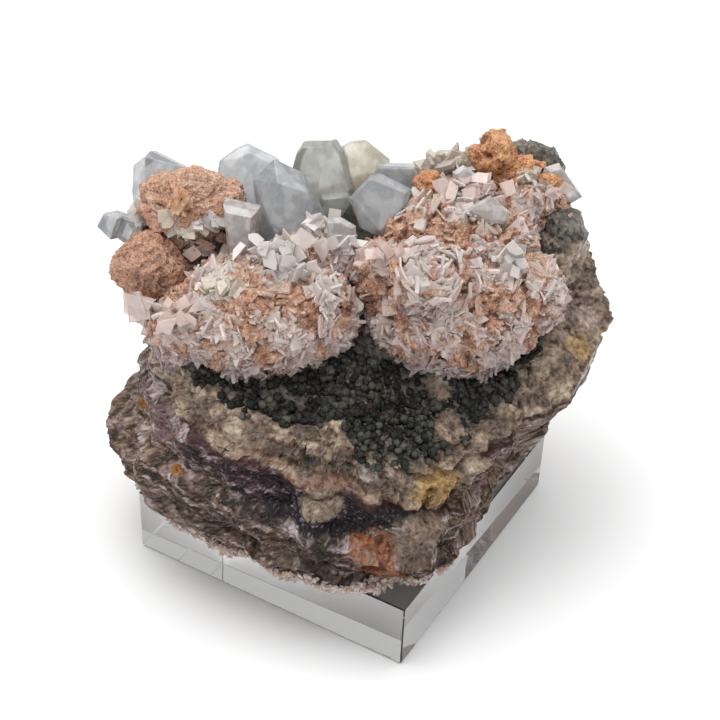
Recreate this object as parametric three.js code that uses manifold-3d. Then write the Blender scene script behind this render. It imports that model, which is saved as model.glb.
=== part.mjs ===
// Baryte with fluorite: a banded fluorite rock with a dark druse, two large baryte rosettes, rust-coloured
// balls and pale tabular baryte crystals, standing on a clear square display block.
// Millimetres, +Z up. The origin is the middle of the block's underside; X and Y run along its sides.

import * as THREE from "three";
import { ConvexGeometry } from "three/addons/geometries/ConvexGeometry.js";
import { mergeVertices } from "three/addons/utils/BufferGeometryUtils.js";
import Module from "manifold-3d";

const wasm = await Module();
wasm.setup();

// Driving sizes
const BLOCK_SIDE = 76;
const BLOCK_HEIGHT = 18;
const BLOCK_CHAMFER = 0.3;
const SPECIMEN_TURN = THREE.MathUtils.degToRad(29.1);
const GAP = 0.3;

// The rock is a loft. Each ring has a radius and a height for every 30 degrees of bearing, counted
// from +X (the viewer's right) towards +Y (the back). Heights are above the top of the block.
const FOOT_RADIUS = [38, 47, 46, 40, 42, 46, 50, 49, 43, 46, 44, 36];
const FOOT_HEIGHT = Array(12).fill(0);
const BELLY_RADIUS = [50, 60, 56, 47, 48, 52, 61, 56, 46, 47, 46, 41];
const BELLY_HEIGHT = [20, 26, 28, 28, 26, 20, 14, 14, 13, 12, 12, 14];
const RIM_RADIUS = [60, 62, 54, 46, 44, 43, 46, 43, 36, 32, 40, 43];
const RIM_HEIGHT = [40, 56, 61, 57, 54, 48, 39, 36, 34, 33, 28, 30];
const SHELF_RADIUS = [40, 44, 44, 36, 32, 32, 32, 26, 20, 17, 22, 30];
const SHELF_HEIGHT = [46, 56, 61, 58, 57, 56, 50, 43, 39, 37, 34, 36];
const CROWN_HEIGHT = 54;
const ROCK_BEARINGS = 44;
const FLANK_ROWS = 11;
const TOP_ROWS = 5;
const STRATA_PITCH = 10;
const STRATA_DEPTH = 3;
const LUMP_DEPTH = 1.3;

// The druse covers the shelf from one of the rock's bearings to another, between these levels
const DRUSE_START = 20;
const DRUSE_END = 46;
const DRUSE_LEVELS = [2.2, 2.4, 2.8, 3.2];
const DRUSE_THICKNESS = 1;
const DRUSE_BALLS = 40;
const DRUSE_BALL_RADIUS = 2.3;

// Blades leave a rosette's underside bare and tilt away from straight out
const GOLDEN_ANGLE = Math.PI * (3 - Math.sqrt(5));
const GOLDEN_SHARE = (Math.sqrt(5) - 1) / 2;
const BLADE_REACH_DOWN = 1.7;
const BLADE_TILT = 1.3;
const BLADE_SIZE = [4.2, 6.5, 2];
const BLADES_PER_MM2 = 0.05;

const COLOURS = {
  acrylic: 0xdfe6ea,
  fluorite: 0x7d6a55,
  druse: 0x3d4038,
  baryte_rosette: 0xcbb8ae,
  rust: 0xc98a5e,
  baryte_crystal: 0xb4bfc4,
};
const ROUGHNESS = { acrylic: 0.05, baryte_crystal: 0.2 };

// A repeatable source of numbers from 0 to 1
function seeded(seed) {
  let state = seed;
  return () => {
    state = (state * 1664525 + 1013904223) % 4294967296;
    return state / 4294967296;
  };
}

// Turns a closed three.js geometry into a solid
function solidFrom(geometry) {
  const bare = geometry.clone();
  bare.deleteAttribute("normal");
  bare.deleteAttribute("uv");
  const merged = mergeVertices(bare, 1e-4);
  return new wasm.Manifold(
    new wasm.Mesh({
      numProp: 3,
      vertProperties: new Float32Array(merged.attributes.position.array),
      triVerts: new Uint32Array(merged.index.array),
    }),
  );
}

// The largest body of a solid, so that no cut leaves a loose chip
function mainBody(solid) {
  const bodies = solid.decompose();
  return bodies.reduce((best, body) => (body.volume() > best.volume() ? body : best));
}

function joined(solids) {
  return solids.reduce((sum, solid) => sum.add(solid));
}

function cutBy(solid, tools) {
  return mainBody(tools.reduce((rest, tool) => rest.subtract(tool), solid));
}

function meshFrom(solid, name, slot) {
  const { numProp, numVert, vertProperties, triVerts } = solid.getMesh();
  const position = new Float32Array(numVert * 3);
  for (let i = 0; i < numVert; i++) {
    position.set(vertProperties.subarray(i * numProp, i * numProp + 3), i * 3);
  }
  const geometry = new THREE.BufferGeometry();
  geometry.setAttribute("position", new THREE.BufferAttribute(position, 3));
  geometry.setIndex(new THREE.BufferAttribute(triVerts, 1));
  geometry.computeVertexNormals();
  const material = new THREE.MeshStandardMaterial({
    color: COLOURS[slot],
    roughness: ROUGHNESS[slot] ?? 0.8,
    metalness: 0,
  });
  const mesh = new THREE.Mesh(geometry, material);
  mesh.name = name;
  return mesh;
}

// A smooth value between the entries of a closed list, at a share of a full turn
function aroundRing(values, turn) {
  const count = values.length;
  const place = (turn - Math.floor(turn)) * count;
  const first = Math.floor(place);
  const f = place - first;
  const [a, b, c, d] = [-1, 0, 1, 2].map((step) => values[(first + step + count) % count]);
  return b + 0.5 * f * (c - a + f * (2 * a - 5 * b + 4 * c - d + f * (3 * (b - c) + d - a)));
}

// Broad lumps of broken rock, from a few crossing waves
function rockLumps(p) {
  const waves =
    Math.sin(p.x * 0.19 + p.z * 0.11 + 1.3) * Math.sin(p.y * 0.17 - p.z * 0.13) +
    0.7 * Math.sin(p.x * 0.33 - p.y * 0.29 + p.z * 0.21 + 0.4) +
    0.5 * Math.sin(p.x * 0.52 + p.y * 0.61 - p.z * 0.37);
  return LUMP_DEPTH * waves;
}

// Ledges where softer and harder bands of the rock meet; depth is measured down from the rim.
// Each band starts proud and draws in towards the next one below it.
function strataLedge(depthBelowRim, turn) {
  const phase = depthBelowRim / STRATA_PITCH + 0.35 * Math.sin(4 * Math.PI * turn);
  return STRATA_DEPTH * (0.5 - (phase - Math.floor(phase)));
}

// A point on the rock: level 0 is the foot, 1 the belly, 2 the rim, 3 the shelf and 4 the crown
function rockPoint(turn, level, grow = 0) {
  const radii = [FOOT_RADIUS, BELLY_RADIUS, RIM_RADIUS, SHELF_RADIUS].map((ring) => aroundRing(ring, turn));
  const heights = [FOOT_HEIGHT, BELLY_HEIGHT, RIM_HEIGHT, SHELF_HEIGHT].map((ring) => aroundRing(ring, turn));
  radii.push(0);
  heights.push(CROWN_HEIGHT);
  const lower = Math.min(3, Math.floor(level));
  const share = level - lower;
  const radius = THREE.MathUtils.lerp(radii[lower], radii[lower + 1], share);
  const height = THREE.MathUtils.lerp(heights[lower], heights[lower + 1], share);
  const bearing = turn * 2 * Math.PI;
  const p = new THREE.Vector3(radius * Math.cos(bearing), radius * Math.sin(bearing), height);
  const outward = new THREE.Vector3(p.x, p.y, level > 2 ? 60 * (level - 2) : 0).normalize();
  const onFlank = level > 0 && level < 2 ? 1 : 0;
  const lumps = level > 0 ? rockLumps(p) : 0;
  const ledge = onFlank * strataLedge(heights[2] - height, turn);
  p.addScaledVector(outward, lumps + ledge + grow);
  p.z = Math.max(p.z, 0);
  return p;
}

// The whole rock as one closed surface: foot to crown, with a flat underside
function rock(grow = 0) {
  const levels = [
    ...Array.from({ length: FLANK_ROWS }, (_, i) => (2 * i) / FLANK_ROWS),
    ...Array.from({ length: TOP_ROWS }, (_, i) => 2 + (2 * i) / TOP_ROWS),
  ];
  const rows = levels.map((level) =>
    Array.from({ length: ROCK_BEARINGS }, (_, i) => rockPoint(i / ROCK_BEARINGS, level, grow)),
  );
  const top = rockPoint(0, 4, grow);
  const last = rows.length - 1;
  const under = new THREE.Vector3(0, 0, -grow);
  rows.forEach((row) => row.forEach((p) => (p.z = p.z <= 0 ? -grow : p.z)));
  const triangles = [];
  for (let i = 0; i < ROCK_BEARINGS; i++) {
    const j = (i + 1) % ROCK_BEARINGS;
    triangles.push(under, rows[0][j], rows[0][i]);
    for (let row = 0; row < last; row++) {
      const [a, b, c, d] = [rows[row][i], rows[row][j], rows[row + 1][j], rows[row + 1][i]];
      triangles.push(a, b, c, a, c, d);
    }
    triangles.push(rows[last][i], rows[last][j], top);
  }
  return solidFrom(new THREE.BufferGeometry().setFromPoints(triangles));
}

// A thick crystal. outline goes round its plate, in millimetres across and up; lean tips the plate
// back from upright and yaw turns it about the vertical, both in degrees; inset narrows its two faces.
function crystal({ at, outline, thickness, lean = 30, yaw = 0, inset = 0.72 }, grow = 0) {
  const half = thickness / 2 + grow;
  const points = [];
  for (const [across, up] of outline) {
    const reach = Math.hypot(across, up);
    const wide = (reach + 1.3 * grow) / reach;
    for (const [scale, depth] of [[inset, half], [1, 0.55 * half], [1, -0.55 * half], [inset, -half]]) {
      points.push(new THREE.Vector3(across * scale * wide, depth, up * scale * wide));
    }
  }
  const turned = new THREE.Matrix4()
    .makeRotationZ(THREE.MathUtils.degToRad(yaw))
    .multiply(new THREE.Matrix4().makeRotationX(THREE.MathUtils.degToRad(-lean)))
    .setPosition(...at);
  return solidFrom(new ConvexGeometry(points.map((p) => p.applyMatrix4(turned))));
}

// A small blade: a flat plate that narrows to its tip
function blade(foot, rise, side, [length, width, thickness], grow = 0) {
  const up = rise.clone().normalize();
  const across = side.clone().addScaledVector(up, -side.dot(up)).normalize();
  const normal = up.clone().cross(across);
  const points = [];
  for (const [height, narrowing] of [[-0.5, 1], [1, 0.7]]) {
    for (const [a, b] of [[1, 1], [1, -1], [-1, 1], [-1, -1]]) {
      points.push(
        foot
          .clone()
          .addScaledVector(up, height * (length + grow))
          .addScaledVector(across, a * narrowing * (width / 2 + grow))
          .addScaledVector(normal, b * (thickness / 2 + grow)),
      );
    }
  }
  return solidFrom(new ConvexGeometry(points));
}

// A lumpy ball: an ellipsoid pushed in and out a little at each corner
function ball({ at, radii, rough = 0.06, detail = 2, seed = 1 }, grow = 0) {
  const geometry = mergeVertices(bareIcosahedron(detail));
  const position = geometry.attributes.position;
  const random = seeded(seed);
  for (let i = 0; i < position.count; i++) {
    const push = 1 + rough * (2 * random() - 1);
    const p = new THREE.Vector3().fromBufferAttribute(position, i);
    position.setXYZ(
      i,
      at[0] + p.x * (radii[0] * push + grow),
      at[1] + p.y * (radii[1] * push + grow),
      at[2] + p.z * (radii[2] * push + grow),
    );
  }
  return solidFrom(geometry.toNonIndexed());
}

function bareIcosahedron(detail) {
  const geometry = new THREE.IcosahedronGeometry(1, detail);
  geometry.deleteAttribute("normal");
  geometry.deleteAttribute("uv");
  return geometry;
}

// Whether a point lies inside one of the balls
function within(point, balls, share) {
  return balls.some(({ at, radii }) => {
    const d = point.clone().sub(new THREE.Vector3(...at)).divide(new THREE.Vector3(...radii));
    return d.length() < share;
  });
}

// A rosette: a few balls grown into each other, with blades standing out of them all over
function rosette({ balls, seed }, grow = 0) {
  const random = seeded(seed);
  const parts = balls.map((one, i) => ball({ rough: 0.07, detail: 1, seed: seed + i, ...one }, grow));
  balls.forEach((one, index) => {
    const others = balls.filter((_, i) => i !== index);
    const count = Math.round(BLADES_PER_MM2 * one.radii[0] * one.radii[2]);
    for (let i = 0; i < count; i++) {
      const z = 1 - (BLADE_REACH_DOWN * (i + 0.5)) / count;
      const turn = i * GOLDEN_ANGLE;
      const ring = Math.sqrt(1 - z * z);
      const out = new THREE.Vector3(ring * Math.cos(turn), ring * Math.sin(turn), z);
      const foot = new THREE.Vector3(...one.at).add(out.clone().multiply(new THREE.Vector3(...one.radii)));
      const spin = new THREE.Vector3(random() - 0.5, random() - 0.5, random() - 0.5);
      const scale = 0.75 + 0.5 * random();
      if (!within(foot, others, 1.02)) {
        const size = [BLADE_SIZE[0] * scale, BLADE_SIZE[1] * scale, BLADE_SIZE[2]];
        const rise = out.clone().addScaledVector(spin, BLADE_TILT);
        parts.push(blade(foot, rise, out.clone().cross(spin), size, grow));
      }
    }
  });
  return joined(parts);
}

// The crust of small dark balls that covers the rock between its rim and the rosettes
function druse() {
  const random = seeded(31);
  const parts = [druseSheet()];
  const [low, high] = [DRUSE_LEVELS[0], DRUSE_LEVELS[DRUSE_LEVELS.length - 1]];
  for (let i = 0; i < DRUSE_BALLS; i++) {
    const turn = THREE.MathUtils.lerp(DRUSE_START, DRUSE_END, (i + 0.5) / DRUSE_BALLS) / ROCK_BEARINGS;
    const level = THREE.MathUtils.lerp(low, high, (i * GOLDEN_SHARE) % 1);
    const radius = DRUSE_BALL_RADIUS * (0.8 + 0.5 * random());
    const at = rockPoint(turn, level, DRUSE_THICKNESS).toArray();
    parts.push(ball({ at, radii: [radius, radius, radius], rough: 0.12, detail: 0, seed: i + 3 }));
  }
  return joined(parts);
}

// The sheet that carries the balls: a strip of the rock's own surface, raised off it. It starts and
// ends on two of the rock's own bearings.
function druseSheet() {
  const across = DRUSE_END - DRUSE_START;
  const up = DRUSE_LEVELS.length - 1;
  const [lower, upper] = [-DRUSE_THICKNESS, DRUSE_THICKNESS].map((grow) =>
    DRUSE_LEVELS.map((level) =>
      Array.from({ length: across + 1 }, (_, i) => rockPoint((DRUSE_START + i) / ROCK_BEARINGS, level, grow)),
    ),
  );
  const triangles = [];
  const quad = (a, b, c, d) => triangles.push(a, b, c, a, c, d);
  for (let j = 0; j < up; j++) {
    for (let i = 0; i < across; i++) {
      quad(upper[j][i], upper[j][i + 1], upper[j + 1][i + 1], upper[j + 1][i]);
      quad(lower[j][i], lower[j + 1][i], lower[j + 1][i + 1], lower[j][i + 1]);
    }
    quad(lower[j][0], upper[j][0], upper[j + 1][0], lower[j + 1][0]);
    quad(lower[j + 1][across], upper[j + 1][across], upper[j][across], lower[j][across]);
  }
  for (let i = 0; i < across; i++) {
    quad(lower[0][i], lower[0][i + 1], upper[0][i + 1], upper[0][i]);
    quad(lower[up][i + 1], lower[up][i], upper[up][i], upper[up][i + 1]);
  }
  return solidFrom(new THREE.BufferGeometry().setFromPoints(triangles));
}

// Places below are [to the viewer's right, away from the viewer, up from the block's top]
const BOULDERS = [
  { at: [41, 33, 66], radii: [11, 8, 11], rough: 0.12, detail: 1, seed: 21 },
  { at: [25, 30, 57], radii: [8, 7, 9], rough: 0.1, detail: 1, seed: 22 },
  { at: [49, 16, 57], radii: [7, 8, 12], rough: 0.1, detail: 1, seed: 23 },
  { at: [-40.5, 14, 53], radii: [13, 12, 9], rough: 0.1, detail: 1, seed: 24 },
  { at: [-41, 5, 45], radii: [10, 9, 9], rough: 0.1, detail: 1, seed: 25 },
];

const ROSETTES = {
  baryte_rosette_left: {
    balls: [
      { at: [-21.5, -6, 49], radii: [22, 16, 15] },
      { at: [-38, -5, 44], radii: [11, 11, 11] },
      { at: [-8, -8, 51], radii: [9.5, 10, 12] },
      { at: [-11, 3, 59], radii: [10, 8, 8] },
    ],
    seed: 5,
  },
  baryte_rosette_right: {
    balls: [
      { at: [23.8, -3.6, 51.5], radii: [21.6, 16.6, 16.2] },
      { at: [24, 8, 63], radii: [19, 14, 12] },
      { at: [17, -12, 64], radii: [9, 8, 9] },
      { at: [41, -2, 55], radii: [9, 10, 10] },
      { at: [8, -1, 57.5], radii: [9.5, 10, 10.5] },
      { at: [43, 19, 66], radii: [8, 7, 7] },
    ],
    seed: 8,
  },
};

const BALLS = {
  rust_ball_upper_left: { at: [-39.5, 14, 67.6], radii: [13, 9, 7.3], detail: 1, seed: 2 },
  rust_ball_left: { at: [-48.5, 3, 55], radii: [9, 9, 9], detail: 1, seed: 3 },
  rust_ball_top: { at: [16.5, 16, 73.6], radii: [3.7, 3, 2.8], detail: 1, seed: 4 },
  rust_crust_back: { at: [32.5, 29, 74], radii: [5.8, 5.4, 6.4], detail: 1, rough: 0.14, seed: 6 },
};

// Crystals that have grown through each other are listed together and form one solid
const CRYSTALS = {
  baryte_crystal_left_tall: [
    {
      at: [-47.5, 22, 65],
      outline: [[-7.2, -1], [-7.4, 5.2], [-3.4, 9.2], [4.9, 6.4], [6, 0.8], [5.6, -11], [-5, -12]],
      thickness: 9,
      lean: 25,
      yaw: -10,
    },
  ],
  baryte_crystal_left_cubes: [
    {
      at: [-58, 12, 60.5],
      outline: [[-2.9, -0.6], [-1.5, 3.3], [2.8, 3.2], [1.6, -2.6]],
      thickness: 6,
      lean: 20,
      yaw: -30,
    },
    {
      at: [-54.5, 12, 60],
      outline: [[-2.6, -2], [-1.6, 3.2], [4.5, 2.6], [5, -5]],
      thickness: 5,
      lean: 20,
      yaw: -20,
    },
  ],
  baryte_crystal_centre: [
    {
      at: [-25.5, 22.5, 66],
      outline: [[-8.6, 3.5], [-7.9, 7.2], [-3.9, 10], [-1, 11.2], [6.4, 7.4], [7.4, 0], [6, -11], [-5.5, -11]],
      thickness: 10,
      lean: 25,
      yaw: 6,
    },
    {
      at: [-15.5, 13.5, 67],
      outline: [[-9, 6.6], [-3.8, 11.4], [2.9, 7.9], [5.8, 2.6], [7.8, -2.4], [6.9, -6.2], [0, -12], [-7.7, -9]],
      thickness: 12,
      lean: 32,
      yaw: 8,
      inset: 0.6,
    },
  ],
  baryte_crystal_blocky: [
    {
      at: [-26.6, 4, 68.4],
      outline: [[-4.1, 4.6], [4, 3.8], [3, -8], [-2.4, -11]],
      thickness: 7,
      lean: 8,
      yaw: -8,
    },
  ],
  baryte_crystal_tall: [
    {
      at: [-8.4, 25.5, 68.5],
      outline: [[-7.6, 1.6], [-7.1, 5.2], [-5.7, 7.9], [1.1, 9.3], [3.3, 7], [7.4, -1.5], [6, -15], [-5, -15]],
      thickness: 9,
      lean: 22,
      yaw: -18,
    },
    {
      at: [-5, 18.5, 64.5],
      outline: [[-3.7, 2.5], [2.5, 3.5], [4.2, 1.5], [0.2, -4], [-3.7, -4]],
      thickness: 6,
      lean: 20,
    },
  ],
  baryte_crystal_cream: [
    {
      at: [1.5, 31, 68],
      outline: [[-6.2, 4.5], [-5.2, 5.9], [-3, 6.9], [0.5, 7], [2.4, 5.1], [6.1, 2], [6, -3], [4.2, -15], [-4, -15]],
      thickness: 7,
      lean: 25,
      yaw: 12,
    },
  ],
  baryte_crystal_back: [
    {
      at: [10, 25, 67.5],
      outline: [[-6.3, 2.8], [-5.4, 4.8], [3.3, 4.9], [4.4, 2.5], [4, -14], [-3, -14]],
      thickness: 7,
      lean: 20,
    },
  ],
  baryte_crystal_rhomb: [
    {
      at: [5.6, 12.5, 68],
      outline: [[-7.5, 1.7], [-3.1, 7.5], [-0.8, 8.2], [6.9, 5.2], [6.4, 0.9], [1.5, -7], [-4.2, -5]],
      thickness: 10,
      lean: 35,
      yaw: -6,
      inset: 0.8,
    },
  ],
  baryte_crystal_milky: [
    {
      at: [-3.6, 4, 65.5],
      outline: [[-4, 4], [0, 4.4], [3.5, 2.5], [3.7, -0.2], [2.5, -3.7], [0, -5], [-3.2, -3]],
      thickness: 5,
      lean: 30,
    },
  ],
  baryte_plate_top: [
    {
      at: [25.4, 14, 76],
      outline: [[-3.5, 1.7], [-1, 3.5], [2.5, 1.2], [4, -1.7], [1, -4], [-2.7, -3]],
      thickness: 3,
    },
    {
      at: [29, 13, 72.5],
      outline: [[-3.7, -0.2], [1.2, 2.5], [4.4, 0.2], [-2.2, -2.6]],
      thickness: 2.6,
      lean: 50,
    },
  ],
  baryte_plate_right: [
    {
      at: [30.3, 4, 74],
      outline: [[-5.9, -0.5], [0.2, 3.5], [4.9, -0.2], [3.2, -3], [-1, -3]],
      thickness: 3,
      lean: 40,
    },
  ],
  baryte_plate_upright: [
    {
      at: [36.6, -5, 66.5],
      outline: [[-1.7, 4], [2.4, 3.7], [1.7, -4], [-2.5, -3.7]],
      thickness: 2.4,
      lean: 20,
    },
  ],
  baryte_plate_far_right: [
    {
      at: [49, 22.5, 70.5],
      outline: [[-4.4, 4.2], [-1.2, 5.4], [4.9, -2.5], [0.7, -5.2], [-6, 0]],
      thickness: 3.4,
      lean: 30,
    },
  ],
};

// The rock with the boulders that have grown out of it
function wholeRock(grow = 0) {
  return joined([rock(grow), ...BOULDERS.map((one) => ball(one, grow))]);
}

function crystalGroup(group, grow = 0) {
  return joined(group.map((one) => crystal(one, grow)));
}

// Each piece is cut back from those already in place, which are grown by the gap first
const inPlace = [wholeRock(GAP)];
function fitted(solid, grown) {
  const cut = cutBy(solid, inPlace);
  inPlace.push(grown);
  return cut;
}

const specimen = new THREE.Group();
specimen.position.z = BLOCK_HEIGHT + GAP;
specimen.rotation.z = SPECIMEN_TURN;
specimen.add(meshFrom(wholeRock(), "fluorite_matrix", "fluorite"));

for (const [name, group] of Object.entries(CRYSTALS)) {
  const solid = fitted(crystalGroup(group), crystalGroup(group, GAP));
  specimen.add(meshFrom(solid, name, "baryte_crystal"));
}
for (const [name, spec] of Object.entries(ROSETTES)) {
  specimen.add(meshFrom(fitted(rosette(spec), rosette(spec, GAP)), name, "baryte_rosette"));
}
for (const [name, spec] of Object.entries(BALLS)) {
  specimen.add(meshFrom(fitted(ball(spec), ball(spec, GAP)), name, "rust"));
}
specimen.add(meshFrom(cutBy(druse(), inPlace), "dark_druse", "druse"));

// The display block: a square prism with small polished chamfers on every edge
function displayBlock() {
  const half = BLOCK_SIDE / 2;
  const points = [];
  for (const x of [-1, 1]) {
    for (const y of [-1, 1]) {
      for (const z of [0, BLOCK_HEIGHT]) {
        const inner = z === 0 ? BLOCK_CHAMFER : BLOCK_HEIGHT - BLOCK_CHAMFER;
        points.push(
          new THREE.Vector3(x * (half - BLOCK_CHAMFER), y * (half - BLOCK_CHAMFER), z),
          new THREE.Vector3(x * half, y * (half - BLOCK_CHAMFER), inner),
          new THREE.Vector3(x * (half - BLOCK_CHAMFER), y * half, inner),
        );
      }
    }
  }
  return solidFrom(new ConvexGeometry(points));
}

const part = new THREE.Group();
part.add(meshFrom(displayBlock(), "display_block", "acrylic"));
part.add(specimen);

export default part;
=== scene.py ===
"""Baryte rosettes and glassy crystals on banded fluorite, standing on a clear block.

The rock, the dark spherules that line its hollow, the two bladed rosettes and the rust-tan balls
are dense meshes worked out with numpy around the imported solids. The large glassy crystals are
convex bodies with worn edges. The block and the milky crystals keep their own solids, and every
piece has a procedural finish.

Shapes are worked out in millimetres in the specimen's own axes: across to the right, away from
the viewer, and up from the rock's foot. The last step turns them into the row's frame in metres.
"""

import itertools
import logging
import math
from dataclasses import dataclass
from enum import Enum
from typing import Sequence

import bmesh
import bpy
import numpy as np
from mathutils import Matrix, Vector


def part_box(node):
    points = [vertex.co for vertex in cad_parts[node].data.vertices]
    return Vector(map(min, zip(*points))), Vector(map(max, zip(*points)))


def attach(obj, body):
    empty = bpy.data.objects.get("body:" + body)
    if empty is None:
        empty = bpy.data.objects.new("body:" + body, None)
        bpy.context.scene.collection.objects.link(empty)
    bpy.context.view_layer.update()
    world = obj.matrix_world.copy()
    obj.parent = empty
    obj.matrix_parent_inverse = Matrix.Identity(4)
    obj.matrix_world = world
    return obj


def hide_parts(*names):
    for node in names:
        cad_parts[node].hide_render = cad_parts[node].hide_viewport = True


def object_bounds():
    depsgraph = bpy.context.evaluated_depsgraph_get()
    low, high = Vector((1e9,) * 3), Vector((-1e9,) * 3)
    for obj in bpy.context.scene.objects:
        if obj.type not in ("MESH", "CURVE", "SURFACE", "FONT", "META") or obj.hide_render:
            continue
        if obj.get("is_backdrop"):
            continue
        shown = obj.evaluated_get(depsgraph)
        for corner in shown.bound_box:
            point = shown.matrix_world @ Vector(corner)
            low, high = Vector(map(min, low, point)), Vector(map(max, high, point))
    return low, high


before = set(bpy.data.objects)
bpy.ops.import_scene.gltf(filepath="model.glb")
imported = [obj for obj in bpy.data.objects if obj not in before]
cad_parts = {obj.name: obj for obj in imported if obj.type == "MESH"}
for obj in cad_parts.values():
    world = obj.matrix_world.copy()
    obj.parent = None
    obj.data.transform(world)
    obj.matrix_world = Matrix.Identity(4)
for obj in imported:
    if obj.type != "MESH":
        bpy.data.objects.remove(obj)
CAD_LOW, CAD_HIGH = (np.array(corner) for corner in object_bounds())

log = logging.getLogger("baryte")

Array = np.ndarray
Colour = tuple[float, float, float]

MM = 0.001
SPECIMEN_TURN = math.radians(29.1)
ROCK_CLEARANCE = 0.3
ROCK_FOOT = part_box("display_block")[1][2] / MM + ROCK_CLEARANCE
BOX_MARGIN = 0.05


def linear(red: int, green: int, blue: int) -> Colour:
    """The scene-linear colour of an eight-bit display colour, by the display's own curve."""
    shares = (channel / 255 for channel in (red, green, blue))
    return tuple(c / 12.92 if c <= 0.04045 else ((c + 0.055) / 1.055) ** 2.4 for c in shares)


class Tone(Enum):
    """The colours of the specimen, named for what shows them; a few stand for painted shade."""

    RIM_CLEAR = linear(198, 182, 160)
    RIM_TAN = linear(150, 124, 98)
    RIM_BROWN = linear(100, 72, 50)
    RED_LINE = linear(54, 20, 12)
    PLUM_BLACK = linear(25, 16, 21)
    PLUM = linear(66, 44, 54)
    LILAC_FLECK = linear(172, 164, 172)
    FOLD_DARK = linear(42, 33, 28)
    FOLD_BROWN = linear(102, 80, 56)
    FOLD_TAN = linear(152, 134, 116)
    FOLD_PALE = linear(184, 172, 164)
    MAUVE = linear(118, 90, 96)
    HONEY = linear(150, 92, 20)
    YELLOW = linear(190, 150, 76)
    ORANGE = linear(158, 82, 24)
    PINK_WHITE = linear(222, 196, 184)
    GREY_CLEAR = linear(124, 102, 82)
    OLIVE = linear(84, 60, 34)
    # painted shade: the near-black given to the rock between the druse's balls
    DRUSE_GAP_SHADE = linear(12, 11, 11)
    SPHERULE = linear(94, 94, 83)
    SPHERULE_DARK = linear(21, 21, 19)
    SPHERULE_RED = linear(78, 50, 46)
    PEAK_GREEN = linear(112, 112, 100)
    CREAM = linear(240, 226, 204)
    RUST_TAN = linear(232, 192, 166)
    RUST_ORANGE = linear(210, 146, 108)
    RUST_DEEP = linear(222, 136, 64)
    RUST_AMBER = linear(242, 178, 114)
    RUST_ROSE = linear(212, 166, 138)
    # dark rust: a real tone in patches, and painted shade in the hollows of the rust balls
    RUST_DARK_AND_PIT_SHADE = linear(136, 84, 64)
    BLADE_PALE = linear(255, 247, 242)
    BLADE_PINK = linear(252, 226, 216)
    BLADE_SHADED_MAUVE = linear(188, 160, 162)


def tone(name: Tone) -> Array:
    """A named colour as an array."""
    return np.array(name.value)


def mixed(first: Array, second: Array, share: Array) -> Array:
    """First plus the share of the way to second, for colours by the row."""
    share = np.clip(share, 0, 1)[:, None]
    return first * (1 - share) + second * share


def ramp(value: Array, stops: Sequence[float], tones: Sequence[Tone]) -> Array:
    """Colours along a ramp of named tones, straight between its stops."""
    table = np.array([tone(name) for name in tones])
    return np.stack([np.interp(value, stops, table[:, c]) for c in range(3)], axis=1)


def smooth_step(value: Array, low: float, high: float) -> Array:
    """Rises from 0 at low to 1 at high along the curve 3x^2 - 2x^3."""
    x = np.clip((value - low) / (high - low), 0, 1)
    return x * x * (3 - 2 * x)


def window(value: Array, start: float, full: float, fading: float, end: float) -> Array:
    """Rises from 0 at start to 1 at full, and falls from 1 at fading to 0 at end."""
    return smooth_step(value, start, full) * (1 - smooth_step(value, fading, end))


def hashed(cells: Array, seed: int) -> Array:
    """A steady random number from 0 to 1 for each whole-number cell.

    The three indices are multiplied by large primes, joined bit by bit and stirred twice.
    """
    i, j, k = (cells[..., axis].astype(np.int64) for axis in range(3))
    h = (i * 73856093) ^ (j * 19349663) ^ (k * 83492791) ^ (seed * 2654435761)
    h = ((h ^ (h >> 13)) * 1274126177) & 0x7FFFFFFFFFFF
    h = ((h ^ (h >> 17)) * 668265263) & 0x7FFFFFFFFFFF
    return ((h >> 11) & 0xFFFFF) / 0xFFFFF


def soft_noise(points: Array, size: float, seed: int) -> Array:
    """Value noise from -1 to 1: corner numbers of a cell of this size, blended by x^3(6x^2-15x+10)."""
    scaled = points / size
    base = np.floor(scaled)
    f = scaled - base
    f = f * f * f * (f * (6 * f - 15) + 10)
    total = np.zeros(len(points))
    for corner in itertools.product((0, 1), repeat=3):
        share = np.prod(np.where(np.array(corner) == 1, f, 1 - f), axis=1)
        total += share * hashed(base + np.array(corner), seed)
    return 2 * total - 1


def layered(points: Array, size: float, count: int, seed: int, fade: float = 0.5) -> Array:
    """A sum of soft noises, each of half the size and faded, turned a little against the last."""
    turn = np.array([[0.36, 0.48, -0.8], [-0.8, 0.6, 0.0], [0.48, 0.64, 0.6]])
    total = np.zeros(len(points))
    weight = 1.0
    for layer in range(count):
        total += weight * soft_noise(points, size, seed + layer)
        points = points @ turn.T
        size *= 0.5
        weight *= fade
    return total


def ridged(points: Array, size: float, count: int, seed: int) -> Array:
    """Layers of 1 - 2.6|noise|, each of half the size and weight: crests between round hollows."""
    total = np.zeros(len(points))
    weight = 1.0
    for layer in range(count):
        total += weight * (1 - 2.6 * np.abs(soft_noise(points, size, seed + layer)))
        size *= 0.5
        weight *= 0.5
    return total


def nearest_cell(points: Array, size: float, seed: int) -> tuple[Array, Array, Array]:
    """The nearest of one random point per cell.

    Args:
        points: places in millimetres, by the row.
        size: side of a cell.
        seed: picks the random points.

    Returns:
        The offset from the nearest random point and its length, both in cells, and three random
        numbers of that cell.
    """
    scaled = points / size
    base = np.floor(scaled)
    best = np.full(len(points), np.inf)
    offset = np.zeros_like(points)
    cell = np.zeros_like(points)
    for step in itertools.product((-1, 0, 1), repeat=3):
        here = base + np.array(step)
        seat = here + np.stack([hashed(here, seed + axis) for axis in range(3)], axis=1)
        away = scaled - seat
        length = np.einsum("ij,ij->i", away, away)
        closer = length < best
        best[closer] = length[closer]
        offset[closer] = away[closer]
        cell[closer] = here[closer]
    chance = np.stack([hashed(cell, seed + 10 + axis) for axis in range(3)], axis=1)
    return offset, np.sqrt(best), chance


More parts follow.
